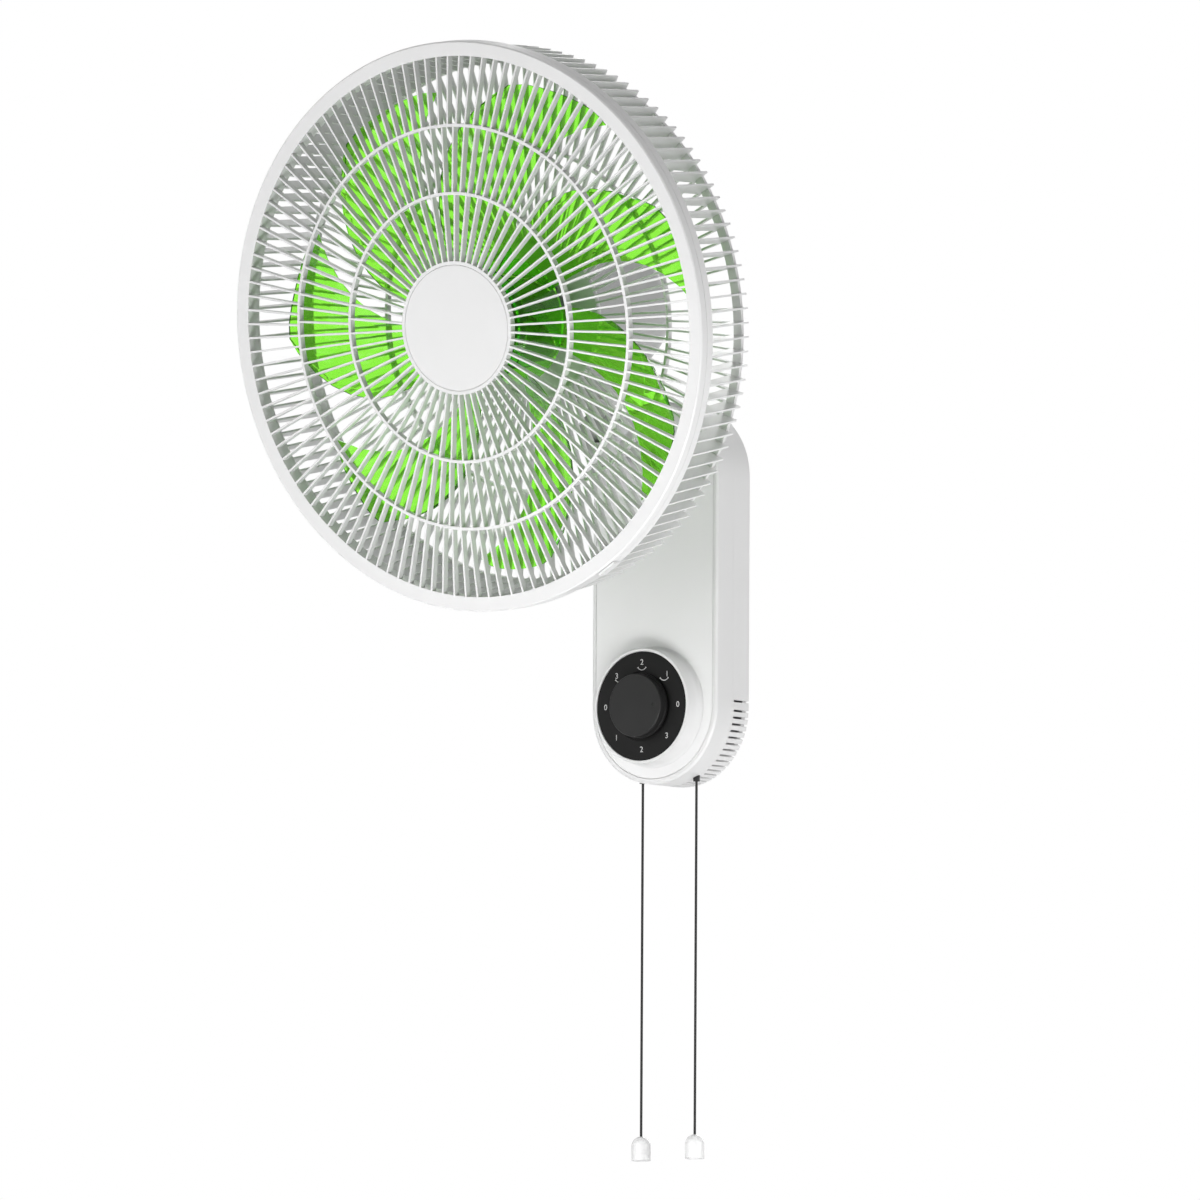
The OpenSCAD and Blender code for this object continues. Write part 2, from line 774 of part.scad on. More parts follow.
// Arm and fork
module arm() color("whitesmoke") {
    elbow_d = arm_reach - arm_bend;
    difference() {
        union() {
            wall_frame() translate([0, arm_z, flange_level]) {
                rounded_plate(flange_w, flange_h, arm_boss_r, flange_t);
                cylinder(r = arm_r, h = elbow_d - flange_level);
            }
            elbow(arm_r);
            translate([0, tilt_y, arm_z + arm_bend]) cylinder(r = arm_r, h = tilt_rise - arm_bend);
            for (side = [-1, 1]) translate([side * (ear_inner_x + ear_t / 2), tilt_y, tilt_z])
                rotate([0, 90, 0]) {
                    cylinder(r = ear_r, h = ear_t, center = true);
                    translate([0, -ear_r, -ear_t / 2]) cube([tilt_rise - arm_bend, 2 * ear_r, ear_t]);
                }
        }
        // The bore that the wires run through
        wall_frame() translate([0, arm_z, flange_level - over])
            cylinder(r = arm_r - arm_wall, h = elbow_d - flange_level + over);
        elbow(arm_r - arm_wall);
        // Room for the knuckle's eye
        translate([-ear_inner_x, tilt_y - arm_r - over, tilt_z - ear_r - slot_floor_gap])
            cube([2 * ear_inner_x, 2 * (arm_r + over), 2 * ear_r + slot_floor_gap]);
        translate([0, tilt_y, tilt_z]) rotate([0, 90, 0])
            cylinder(r = tilt_bolt_r + screw_gap, h = 2 * (ear_outer_x + over), center = true);
        // Flats for the washers
        for (side = [-1, 1])
            translate([side * (ear_outer_x + washer_t / 2), tilt_y, tilt_z])
                cube([washer_t, 2 * arm_r, 2 * (washer_r + seam_gap)], center = true);
        wall_frame() at_arm_screws() translate([0, 0, flange_level - over])
            cylinder(r = arm_screw_r + screw_gap, h = flange_t + 2 * over);
    }
}

// The quarter bend from the level stretch to the upright one
module elbow(r) translate([0, arm_bend - arm_reach, arm_z + arm_bend]) rotate([0, 90, 0])
    rotate([0, 0, -90]) rotate_extrude(angle = 90) translate([arm_bend, 0]) circle(r);

module arm_screws() color("silver") wall_frame() at_arm_screws() {
    translate([0, 0, flange_level + flange_t]) cylinder(r = arm_screw_head_r, h = arm_screw_head_h);
    translate([0, 0, floor_level])
        cylinder(r = arm_screw_r, h = flange_level + flange_t - floor_level + seam_gap);
}

// The collar that covers the arm's hole in the panel
module arm_trim() color("white") wall_frame() translate([0, arm_z, body_depth]) difference() {
    union() {
        cylinder(r = trim_r, h = trim_h - trim_bevel);
        translate([0, 0, trim_h - trim_bevel])
            cylinder(r1 = trim_r, r2 = trim_r - trim_bevel, h = trim_bevel);
    }
    translate([0, 0, -over]) cylinder(r = arm_r + seam_gap, h = trim_h + 2 * over);
}

module on_tilt_bolt() translate([0, tilt_y, tilt_z]) rotate([0, 90, 0]) children();

module tilt_bolt() color("silver") on_tilt_bolt() {
    translate([0, 0, -ear_outer_x - washer_t - nut_h - bolt_tail])
        cylinder(r = tilt_bolt_r, h = 2 * (ear_outer_x + washer_t) + nut_h + bolt_tail + seam_gap);
    translate([0, 0, ear_outer_x + washer_t]) cylinder(r = bolt_head_r, h = bolt_head_h, $fn = hex_sides);
}

module tilt_nut() color("silver") on_tilt_bolt() translate([0, 0, -ear_outer_x - washer_t - nut_h])
    difference() {
        cylinder(r = bolt_head_r, h = nut_h, $fn = hex_sides);
        translate([0, 0, -over]) cylinder(r = tilt_bolt_r + screw_gap, h = nut_h + 2 * over);
    }

module tilt_washers() color("silver") on_tilt_bolt()
    for (level = [ear_outer_x, -ear_outer_x - washer_t])
        translate([0, 0, level]) ring(washer_r, tilt_bolt_r + screw_gap, washer_t);

// Neck
module knuckle() color("lightgray") swing_frame() difference() {
    union() {
        rotate([0, 90, 0]) cylinder(r = eye_r, h = eye_w, center = true);
        translate([-eye_w / 2, -stem_depth / 2, 0]) cube([eye_w, stem_depth, knuckle_top - knuckle_flange_h]);
        translate([0, 0, knuckle_top - knuckle_flange_h])
            cylinder(r = knuckle_flange_r, h = knuckle_flange_h);
    }
    rotate([0, 90, 0]) cylinder(r = tilt_bolt_r + run_gap, h = eye_w + 2 * over, center = true);
    translate([0, 0, post_foot]) cylinder(r = post_r + run_gap, h = knuckle_top);
}

module pan_post() color("silver") swing_frame() translate([0, 0, post_foot])
    cylinder(r = post_r, h = post_top - post_foot);

module thrust_washer() color("ivory") swing_frame() translate([0, 0, knuckle_top])
    ring(thrust_r, post_r + run_gap, thrust_t);

// A tooth: wide at its root, narrow at its tip, both as shares of the pitch
module tooth(pitch_r) {
    pitch = gear_module * PI;
    low = pitch_r - tooth_down_share * gear_module;
    high = pitch_r + tooth_up_share * gear_module;
    polygon([[low - gear_module, -pitch * tooth_root_share], [low, -pitch * tooth_root_share],
        [high, -pitch * tooth_tip_share], [high, pitch * tooth_tip_share],
        [low, pitch * tooth_root_share], [low - gear_module, pitch * tooth_root_share]]);
}

// The toothed sector that stays with the knuckle
module swing_gear() color("ivory") swing_frame() translate([0, 0, gear_level]) {
    root_r = gear_pitch_r - tooth_down_share * gear_module;
    edge_x = root_r * sin(sector_angle);
    edge_y = root_r * cos(sector_angle);
    difference() {
        union() {
            cylinder(r = gear_hub_r, h = gear_t);
            linear_extrude(gear_t) intersection() {
                circle(root_r);
                polygon([[0, 0], [edge_x, edge_y], [edge_x, root_r], [-edge_x, root_r], [-edge_x, edge_y]]);
            }
            linear_extrude(gear_t)
                for (i = [-gear_teeth / 6 + 1 : gear_teeth / 6 - 1])
                    rotate([0, 0, 90 + i * 360 / gear_teeth]) tooth(gear_pitch_r);
        }
        translate([0, 0, -over]) cylinder(r = post_r + run_gap, h = gear_t + 2 * over);
    }
}

module post_clip() color("silver") swing_frame() translate([0, 0, clip_level])
    ring(clip_r, post_r + run_gap, clip_t);

// Swing case and its motor, behind the post
module case_outline(r) {
    circle(r);
    translate([0, case_run]) circle(r);
    translate([-r, 0]) square([2 * r, case_run]);
}

module at_lid_screws() {
    for (side = [-1, 1]) rotate([0, 0, side * lid_boss_angle])
        translate([0, lid_boss_inset - case_r, 0]) children();
    translate([0, case_run + case_r - lid_boss_inset, 0]) children();
}

module swing_lid() color("whitesmoke") swing_frame() difference() {
    translate([0, 0, lid_level]) linear_extrude(lid_t) case_outline(case_r);
    translate([0, 0, lid_level - over]) {
        cylinder(r = post_r + run_gap, h = lid_t + 2 * over);
        at_lid_screws() {
            cylinder(r = lid_screw_r + screw_gap, h = lid_t + 2 * over);
            cylinder(r = lid_screw_head_r + screw_gap, h = lid_screw_head_h + over);
        }
    }
}

module lid_screws() color("silver") swing_frame() at_lid_screws() translate([0, 0, lid_level]) {
    cylinder(r = lid_screw_head_r, h = lid_screw_head_h);
    cylinder(r = lid_screw_r, h = lid_screw_l);
}

module swing_motor() color("silver") swing_frame() translate([0, gear_centres, swing_can_level]) difference() {
    union() {
        cylinder(r = swing_can_r, h = swing_can_h);
        translate([0, 0, -swing_boss_h]) cylinder(r = swing_boss_r, h = swing_boss_h + over);
    }
    translate([0, 0, -swing_boss_h - over])
        cylinder(r = pinion_shaft_r + run_gap, h = swing_can_h / 2 + swing_boss_h + over);
}

module swing_pinion() color("ivory") swing_frame() translate([0, gear_centres, gear_level]) {
    linear_extrude(gear_t) {
        circle(pinion_pitch_r - tooth_down_share * gear_module);
        for (i = [0 : pinion_teeth - 1])
            rotate([0, 0, -90 + (i + 1 / 2) * 360 / pinion_teeth]) tooth(pinion_pitch_r);
    }
    cylinder(r = pinion_shaft_r, h = swing_can_level - gear_level + swing_can_h / 2 - seam_gap);
}

// Motor, on the fan's axis
module from_rim(s) translate([0, 0, -s]) mirror([0, 0, 1]) children();

// Section of the cover, filled: a straight stretch and a rounded end, as radius and distance
module cover_section(r, front, end, bend) {
    translate([0, front]) square([r, end - bend - front]);
    translate([0, end - bend - seam_gap]) square([r - bend, bend + seam_gap]);
    translate([0, end - bend]) intersection() {
        translate([r - bend, 0]) circle(bend);
        square([r, bend]);
    }
}

module motor_cover() color("gainsboro") {
    case_level = lid_level + lid_t;
    difference() {
        union() {
            head_frame() mirror([0, 0, 1]) rotate_extrude()
                cover_section(motor_r, cover_s, motor_end_s, dome_l);
            swing_frame() translate([0, 0, case_level])
                linear_extrude(case_top - case_level) case_outline(case_r);
        }
        head_frame() mirror([0, 0, 1]) rotate_extrude()
            cover_section(motor_r - cover_wall, cover_s - over, motor_end_s - cover_wall, dome_l - cover_wall);
        swing_frame() translate([0, 0, case_level - over])
            linear_extrude(case_top - case_level + over - cover_wall)
                case_outline(case_r - cover_wall);
        // Vent slots over the top
        head_frame() for (i = [-(cover_vents - 1) / 2 : (cover_vents - 1) / 2])
            rotate([0, 0, i * cover_vent_step_angle])
                translate([-cover_vent_w / 2, motor_r - cover_wall - over, -stator_end_s - cover_vent_l / 2])
                    cube([cover_vent_w, cover_wall + 2 * over, cover_vent_l]);
    }
    swing_frame() {
        // Shelf under the swing motor
        translate([0, 0, swing_can_level - shelf_t]) linear_extrude(shelf_t) difference() {
            translate([0, case_run]) circle(case_r - cover_wall / 2);
            translate([0, gear_centres]) circle(shelf_hole_r);
            translate([-case_r, shelf_front - 2 * case_r]) square(2 * case_r);
        }
        // Bosses for the lid's screws
        at_lid_screws() translate([0, 0, case_level])
            ring(lid_boss_r, lid_screw_r + screw_gap, lid_boss_h);
    }
}

module at_motor_bolts()
    for (i = [0 : motor_bolt_count - 1])
        rotate([0, 0, (i + 1 / 2) * 360 / motor_bolt_count]) translate([bolt_circle_r, 0, 0]) children();

module front_bracket() color("gray") head_frame() difference() {
    union() {
        from_rim(bracket_s) cylinder(r = bracket_r, h = bracket_l);
        from_rim(nose_top_s) cylinder(r = nose_r, h = bracket_s - nose_top_s + over);
    }
    from_rim(bracket_s + bracket_floor) cylinder(r = bracket_r - bracket_wall, h = bracket_l);
    from_rim(nose_top_s - over) cylinder(r = shaft_r + seam_gap, h = bracket_s);
    from_rim(front_bearing_s) cylinder(r = bearing_r + run_gap, h = bracket_s);
    at_motor_bolts() from_rim(bracket_s - over)
        cylinder(r = bolt_r + screw_gap, h = bracket_floor + 2 * over);
    // Air windows in the side wall
    for (i = [0 : bracket_windows - 1]) rotate([0, 0, i * 360 / bracket_windows])
        from_rim(bracket_s + bracket_floor)
            translate([bracket_r - 2 * bracket_wall, -bracket_window_w / 2, 0])
                cube([3 * bracket_wall, bracket_window_w, bracket_window_l]);
}

module rear_bracket() color("gray") head_frame() difference() {
    union() {
        from_rim(stator_end_s) cylinder(r = stator_r, h = rear_bracket_s + rear_bracket_t - stator_end_s);
        from_rim(rear_bracket_s) cylinder(r = bearing_r + bearing_wall, h = rear_seat_l);
    }
    from_rim(stator_end_s - over)
        cylinder(r = stator_r - bracket_wall, h = rear_bracket_s - stator_end_s + over);
    from_rim(rear_bracket_s - over) cylinder(r = bearing_r + run_gap, h = rear_seat_l + 2 * over);
    at_motor_bolts() from_rim(stator_end_s - over)
        cylinder(r = bolt_r + screw_gap, h = rear_bracket_s + rear_bracket_t - stator_end_s + 2 * over);
}

module motor_bolts() color("silver") head_frame() at_motor_bolts() {
    from_rim(bracket_s + bracket_floor) cylinder(r = motor_bolt_head_r, h = motor_bolt_head_h);
    from_rim(bracket_s) cylinder(r = bolt_r, h = rear_bracket_s + rear_bracket_t - bracket_s);
    from_rim(rear_bracket_s + rear_bracket_t)
        cylinder(r = motor_bolt_head_r, h = motor_bolt_head_h, $fn = hex_sides);
}

module stator_core() color("slategray") head_frame() difference() {
    from_rim(stator_s) cylinder(r = stator_r, h = stator_l);
    from_rim(stator_s - over) cylinder(r = stator_bore_r, h = stator_l + 2 * over);
    at_motor_bolts() from_rim(stator_s - over) cylinder(r = bolt_r + screw_gap, h = stator_l + 2 * over);
    for (i = [0 : slot_count - 1]) rotate([0, 0, i * 360 / slot_count]) from_rim(stator_s - over) {
        translate([slot_circle_r, 0, 0]) cylinder(r = slot_hole_r, h = stator_l + 2 * over);
        translate([stator_bore_r - over, -slot_mouth_w / 2, 0])
            cube([slot_circle_r - stator_bore_r, slot_mouth_w, stator_l + 2 * over]);
    }
}

module stator_windings() color("peru") head_frame()
    for (level = [stator_s - winding_l, stator_end_s]) from_rim(level) rotate_extrude() difference() {
        translate([winding_bore_r, 0]) square([winding_r - winding_bore_r, winding_l]);
        if (level < stator_s) translate([winding_r, 0]) rotate([0, 0, 45])
            square(winding_edge, center = true);
        else translate([winding_r, winding_l]) rotate([0, 0, 45]) square(winding_edge, center = true);
    }

module bearing_at(s) color("silver") head_frame() from_rim(s)
    ring(bearing_r, shaft_r + run_gap, bearing_l);

module front_bearing() bearing_at(front_bearing_s);

module rear_bearing() bearing_at(rear_bracket_s);

module motor_shaft() color("silver") head_frame() from_rim(shaft_front_s) difference() {
    cylinder(r = shaft_r, h = shaft_back_s - shaft_front_s);
    translate([0, 0, pin_s - shaft_front_s]) rotate([0, 90, 0])
        cylinder(r = pin_r + run_gap, h = 2 * shaft_d, center = true);
}

module rotor_core() color("slategray") head_frame() from_rim(stator_s)
    ring(rotor_r, shaft_r + run_gap, stator_l);

module drive_pin() color("silver") head_frame() from_rim(pin_s) rotate([0, 90, 0])
    cylinder(r = pin_r, h = pin_l, center = true);

// Impeller
// Shares run from 0 to 1: u from the hub to the tip, v from the leading to the trailing edge
function blade_angle(u, v) =
    (1 - v) * (lead_root_angle - lead_sweep_angle * pow(u, lead_power))
    + v * (trail_root_angle - trail_sweep_angle * pow(u, trail_power));
function tip_drop(v) =
    (v < 1 / 2 ? tip_round_lead : tip_round_trail) * pow(abs(2 * v - 1), tip_round_power);
function blade_radius(u, v) = blade_foot_r + (blade_r - tip_drop(v) - blade_foot_r) * u;
function blade_level(u, v) = blade_mid_s + blade_camber * 4 * v * (1 - v) * (1 - u / 2)
    + (1 / 2 - v) * (blade_axial_root + (blade_axial_tip - blade_axial_root) * u) - blade_camber / 2;
function blade_thickness(u, v) = (blade_t_root + (blade_t_tip - blade_t_root) * u)
    * (blade_edge_share + (1 - blade_edge_share) * sqrt(4 * v * (1 - v)));

function blade_point(u, v, side) = let (r = blade_radius(u, v), a = blade_angle(u, v))
    [r * cos(a), r * sin(a), -blade_level(u, v) + side * blade_thickness(u, v) / 2];

module blade() {
    row = chord_steps + 1;
    sheet = (span_steps + 1) * row;
    points = [for (side = [1, -1], i = [0 : span_steps], j = [0 : chord_steps])
        blade_point(i / span_steps, j / chord_steps, side)];
    front = [for (i = [0 : span_steps - 1], j = [0 : chord_steps - 1])
        let (a = i * row + j) each [[a, a + row + 1, a + row], [a, a + 1, a + row + 1]]];
    back = [for (t = front) [t[0] + sheet, t[2] + sheet, t[1] + sheet]];
    edge = concat(
        [for (j = [0 : chord_steps]) j],
        [for (i = [1 : span_steps]) i * row + chord_steps],
        [for (j = [chord_steps - 1 : -1 : 0]) span_steps * row + j],
        [for (i = [span_steps - 1 : -1 : 1]) i * row]);
    rim = [for (k = [0 : len(edge) - 1]) let (a = edge[k], b = edge[(k + 1) % len(edge)])
        each [[a, b + sheet, b], [a, a + sheet, b + sheet]]];
    polyhedron(points, concat(front, back, rim));
}

module impeller() color("#5fdc35") head_frame() difference() {
    union() {
        mirror([0, 0, 1]) rotate_extrude() polygon([
            [0, hub_front_s], [hub_r - hub_taper - hub_edge, hub_front_s],
            [hub_r - hub_taper, hub_front_s + hub_edge], [hub_r, hub_back_s],
            [hub_r - hub_wall, hub_back_s], [hub_r - hub_taper - hub_wall, hub_front_s + hub_edge + hub_wall],
            [hub_r - hub_taper - hub_edge, hub_front_s + hub_wall], [0, hub_front_s + hub_wall]]);
        from_rim(hub_front_s) cylinder(r = hub_boss_r, h = hub_boss_l + pin_slot_h);
        for (i = [0 : hub_ribs - 1]) rotate([0, 0, i * 360 / hub_ribs]) from_rim(hub_front_s)
            translate([hub_boss_r - over, -hub_rib_t / 2, 0])
                cube([hub_r - hub_taper - hub_boss_r - over, hub_rib_t, hub_boss_l]);
        for (i = [0 : blade_count - 1]) rotate([0, 0, blade_phase + i * 360 / blade_count]) blade();
    }
    from_rim(hub_front_s - over) cylinder(r = shaft_r + nut_bore_gap, h = hub_depth);
    // Slot for the drive pin
    from_rim(pin_s - pin_r - run_gap) translate([-hub_boss_r - over, -pin_r - run_gap, 0])
        cube([2 * (hub_boss_r + over), 2 * (pin_r + run_gap), hub_boss_l]);
}

module blade_nut() color("dimgray") head_frame() from_rim(nut_front_s) difference() {
    union() {
        cylinder(r1 = nut_r - nut_edge, r2 = nut_r, h = nut_edge);
        translate([0, 0, nut_edge]) cylinder(r = nut_r, h = hub_front_s - nut_front_s - nut_edge);
    }
    translate([0, 0, hub_front_s - nut_front_s - nut_bore_l])
        cylinder(r = shaft_r + nut_bore_gap, h = nut_bore_l + over);
    for (i = [0 : nut_grips - 1]) rotate([0, 0, i * 360 / nut_grips]) translate([nut_r, 0, -over])
        cylinder(r = nut_grip_r, h = hub_front_s - nut_front_s + 2 * over);
}

// Guards
// Distance of the front guard's dome from the rim's front plane, at radius r
function dome(r) = -guard_crown * (1 - pow(r / front_inner_r, 2));
// Distance of the rear guard's back from the rim's front plane, at radius r
function cage_back(r) = cage_depth + (cage_corner_r - fin_depth - r) * rear_slope;

// Gaps between count ribs, from radius r_in to radius r_out
module gaps(count, r_in, r_out) {
    function corner(r, side) = let (a = side * (180 / count - asin(rib_t / 2 / r))) [r * cos(a), r * sin(a)];
    for (i = [0 : count - 1]) rotate([0, 0, (i + 1 / 2) * 360 / count])
        polygon([corner(r_in, -1), corner(r_out, -1), [r_out, 0], corner(r_out, 1),
            corner(r_in, 1), [r_in, 0]]);
}

module front_guard() color("white") head_frame() {
    mid = ring_t / 2;
    bends = [ring_cap_r, ring_inner_r, ring_outer_r];
    turns = len(bends);
    difference() {
        mirror([0, 0, 1]) rotate_extrude() polygon(concat(
            // Dome, from the cap's ring to the rim
            [[ring_cap_r - cap_ring_t, dome(ring_cap_r)]],
            [for (r = bends) [r, dome(r)]],
            [[front_inner_r, 0],
            // Rim: a front face with a skirt outside and inside
            [guard_r - rim_edge, 0], [guard_r, rim_edge], [guard_r, guard_rim_h],
            [guard_r - rim_skin, guard_rim_h], [guard_r - rim_skin, rim_skin],
            [front_inner_r + rim_skin, rim_skin],
            [front_inner_r + rim_skin, 2 * guard_rim_h - rim_skin - seam_gap],
            [front_inner_r, 2 * guard_rim_h - rim_skin - seam_gap], [front_inner_r, rib_depth]],
            [for (k = [turns - 1 : -1 : 0]) [bends[k], dome(bends[k]) + rib_depth]],
            // Ledge that the cap sits on
            [[ring_cap_r - cap_ring_t, dome(ring_cap_r) + rib_depth],
            [ring_cap_r - cap_ring_t, dome(ring_cap_r) + cap_t + cap_ledge_t],
            [ring_cap_r - cap_ring_t - cap_ledge_w, dome(ring_cap_r) + cap_t + cap_ledge_t],
            [ring_cap_r - cap_ring_t - cap_ledge_w, dome(ring_cap_r) + cap_t],
            [ring_cap_r - cap_ring_t, dome(ring_cap_r) + cap_t]]));
        translate([0, 0, -rib_depth - over]) linear_extrude(guard_crown + rib_depth + 2 * over) {
            gaps(ribs_inner, ring_cap_r + window_lip, ring_inner_r - mid);
            gaps(ribs_middle, ring_inner_r + mid, ring_outer_r - mid);
            gaps(ribs_outer, ring_outer_r + mid, front_inner_r - window_lip);
        }
    }
}

module guard_cap() color("white") head_frame() from_rim(dome(ring_cap_r)) cylinder(r = cap_r, h = cap_t);

module rear_guard() color("white") head_frame() {
    turn_r = cage_corner_r - fin_depth;
    inner_back = cage_back(rear_ring_r);
    plate_back = cage_back(plate_r);
    mid = ring_t / 2;
    difference() {
        mirror([0, 0, 1]) rotate_extrude() polygon([
            // Rear half of the rim
            [guard_r - rim_skin, guard_rim_h + seam_gap],
            [guard_r, guard_rim_h + seam_gap], [guard_r, cage_top_s],
            // Fins, their turn at the corner and the ribs of the back
            [fin_foot_r, cage_top_s], [cage_corner_r, cage_depth], [turn_r, cage_back(turn_r)],
            [rear_ring_r, inner_back], [plate_r, plate_back], [plate_r, bracket_s],
            // Middle plate, held between the motor's bracket and the guard nut
            [nose_r + nose_gap, bracket_s], [nose_r + nose_gap, bracket_s - centre_plate_t],
            [plate_r - ring_t, bracket_s - centre_plate_t], [plate_r - ring_t, plate_back - rear_rib_depth],
            [rear_ring_r, inner_back - rear_rib_depth],
            [turn_r - rear_rib_depth, cage_back(turn_r) - rear_rib_depth],
            [fin_foot_r - fin_depth, cage_top_s], [front_inner_r, cage_top_s],
            [front_inner_r, cage_top_s - rim_skin], [guard_r - rim_skin, cage_top_s - rim_skin]]);
        translate([0, 0, -bracket_s - over]) linear_extrude(bracket_s + over - cage_top_s)
            gaps(rear_ribs_inner, plate_r + window_lip, rear_ring_r - mid);
        difference() {
            translate([0, 0, -bracket_s - over]) linear_extrude(bracket_s + over - cage_top_s)
                gaps(ribs_outer, rear_ring_r + mid, guard_r + over);
            from_rim(cage_depth - corner_band_t) difference() {
                cylinder(r = corner_band_r, h = bracket_s);
                translate([0, 0, -over])
                    cylinder(r = corner_band_r - corner_band_w, h = bracket_s + 2 * over);
            }
        }
    }
}

module guard_nut() color("dimgray") head_frame() from_rim(bracket_s - centre_plate_t - guard_nut_h) difference() {
    cylinder(r = guard_nut_r, h = guard_nut_h);
    translate([0, 0, -over]) cylinder(r = nose_r + screw_gap, h = guard_nut_h + 2 * over);
    for (i = [0 : guard_nut_grips - 1]) rotate([0, 0, i * 360 / guard_nut_grips])
        translate([guard_nut_r, 0, -over]) cylinder(r = grip_r, h = guard_nut_h + 2 * over);
}

module guard_clip() color("white") head_frame() rotate([0, 0, clip_angle])
    from_rim(guard_rim_h - clip_h / 2)
        translate([guard_r + latch_gap, -clip_l / 2, 0]) cube([latch_t, clip_l, clip_h]);

wall_plate();
back_shell();
front_shell();
front_panel();
shell_screws();
dial_collar();
dial_face();
rotary_switch();
knob_shaft();
knob();
terminal_block();
run_capacitor();
pull_switch(-1);  // pull_switch_left
pull_switch(1);  // pull_switch_right
pull_slider(-1);  // pull_slider_left
pull_slider(1);  // pull_slider_right
cord_bush(-1);  // cord_bush_left
cord_bush(1);  // cord_bush_right
pull_cord(-1);  // pull_cord_left
pull_cord(1);  // pull_cord_right
pull_bell(-1);  // pull_left
pull_bell(1);  // pull_right
arm();
arm_screws();
arm_trim();
tilt_bolt();
tilt_nut();
tilt_washers();
knuckle();
pan_post();
thrust_washer();
swing_gear();
post_clip();
swing_lid();
lid_screws();
swing_motor();
swing_pinion();
motor_cover();
front_bracket();
rear_bracket();
motor_bolts();
stator_core();
stator_windings();
front_bearing();
rear_bearing();
motor_shaft();
rotor_core();
drive_pin();
impeller();
blade_nut();
rear_guard();
guard_nut();
front_guard();
guard_cap();
guard_clip();
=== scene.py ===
import math

import bmesh
import bpy
from mathutils import Matrix, Vector


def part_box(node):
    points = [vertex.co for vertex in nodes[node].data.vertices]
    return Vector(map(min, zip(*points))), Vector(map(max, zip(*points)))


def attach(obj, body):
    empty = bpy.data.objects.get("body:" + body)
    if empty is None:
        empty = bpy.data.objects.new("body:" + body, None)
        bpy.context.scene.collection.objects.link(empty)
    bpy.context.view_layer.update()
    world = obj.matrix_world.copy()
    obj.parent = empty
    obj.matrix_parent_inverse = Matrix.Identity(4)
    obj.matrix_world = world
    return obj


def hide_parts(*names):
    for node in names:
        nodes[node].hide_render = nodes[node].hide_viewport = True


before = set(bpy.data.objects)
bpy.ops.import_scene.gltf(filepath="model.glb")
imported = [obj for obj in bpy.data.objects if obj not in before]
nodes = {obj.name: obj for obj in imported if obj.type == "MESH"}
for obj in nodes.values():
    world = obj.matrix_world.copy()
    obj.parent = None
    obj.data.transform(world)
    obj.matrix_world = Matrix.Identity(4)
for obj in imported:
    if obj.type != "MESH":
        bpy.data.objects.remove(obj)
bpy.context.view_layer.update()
mm = 0.001

# Camera, a little below the fan and 36 degrees to its side, far off like a catalogue shot
cameraLook = {
    "aim": (-0.0305, -0.0722, -0.0066),  # point in the middle of the picture
    "right": (0.8107, 0.5854, 0.0),
    "up": (0.0441, -0.0611, 0.9972),
    "distance": 40.0,  # the photograph shows next to no perspective
    "roll": 0.3,  # degrees, as the cords lean in the photograph
    "field": 0.9265,  # width of the picture at the aim point
    "sensor": 36.0,
    "farEnd": 200.0,  # nothing of the studio lies beyond it
}


def setCamera(look):
    right = Vector(look["right"]).normalized()
    back = right.cross(Vector(look["up"])).normalized()
    right = Matrix.Rotation(math.radians(look["roll"]), 3, back) @ right
    up = back.cross(right).normalized()
    place = Matrix((right, up, back)).transposed().to_4x4()
    place.translation = Vector(look["aim"]) + back * look["distance"]
    lens = bpy.data.cameras.new("productCamera")
    lens.sensor_width = look["sensor"]
    lens.lens = look["sensor"] * look["distance"] / look["field"]
    lens.clip_end = look["farEnd"]
    camera = bpy.data.objects.new("productCamera", lens)
    bpy.context.scene.collection.objects.link(camera)
    camera.matrix_world = place
    bpy.context.scene.camera = camera


setCamera(cameraLook)
print("camera: set")

# Pull cords: 2 mm braided polyester, each from its switch down to its pull
cordLook = {
    "sideways": 0.0255,
    "depth": -0.0212,
    "top": -0.122,  # knot in the switch's slider
    "mouth": -0.146,  # foot of the bush, where the cord comes out
    "foot": -0.419,  # inside the pull
    "diameter": 0.002,
    "points": 24,
    "sides": 16,  # round the tube
}


def hangCord(side, name, body, look):
    line = [Vector((side * look["sideways"], look["depth"],
                    look["top"] + (look["foot"] - look["top"]) * i / (look["points"] - 1)))
            for i in range(look["points"])]
    tube = bmesh.new()
    rings = []
    for point in line:
        ring = []
        for k in range(look["sides"]):
            turn = 2 * math.pi * k / look["sides"]
            out = Vector((math.cos(turn), math.sin(turn), 0.0)) * look["diameter"] / 2
            ring.append(tube.verts.new(point + out))
        rings.append(ring)
    for upper, lower in zip(rings[:-1], rings[1:]):
        for k in range(look["sides"]):
            after = (k + 1) % look["sides"]
            tube.faces.new((upper[k], lower[k], lower[after], upper[after])).smooth = True
    tube.faces.new(rings[0])
    tube.faces.new(list(reversed(rings[-1])))
    bmesh.ops.recalc_face_normals(tube, faces=tube.faces)
    mesh = bpy.data.meshes.new(name)
    tube.to_mesh(mesh)
    tube.free()
    cord = bpy.data.objects.new(name, mesh)
    bpy.context.scene.collection.objects.link(cord)
    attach(cord, body)
    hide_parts("pull_cord_" + body.split("_")[1])
    return cord


leftCord = hangCord(-1, "leftPullCord", "pull_left_unit", cordLook)
rightCord = hangCord(1, "rightPullCord", "pull_right_unit", cordLook)
print("cords: two, %.3f m each" % (cordLook["top"] - cordLook["foot"]))


def toLinear(hexText):
    def one(pair):
        share = int(pair, 16) / 255
        return share / 12.92 if share <= 0.04045 else ((share + 0.055) / 1.055) ** 2.4
    text = hexText.lstrip("#")
    return (one(text[0:2]), one(text[2:4]), one(text[4:6]), 1.0)


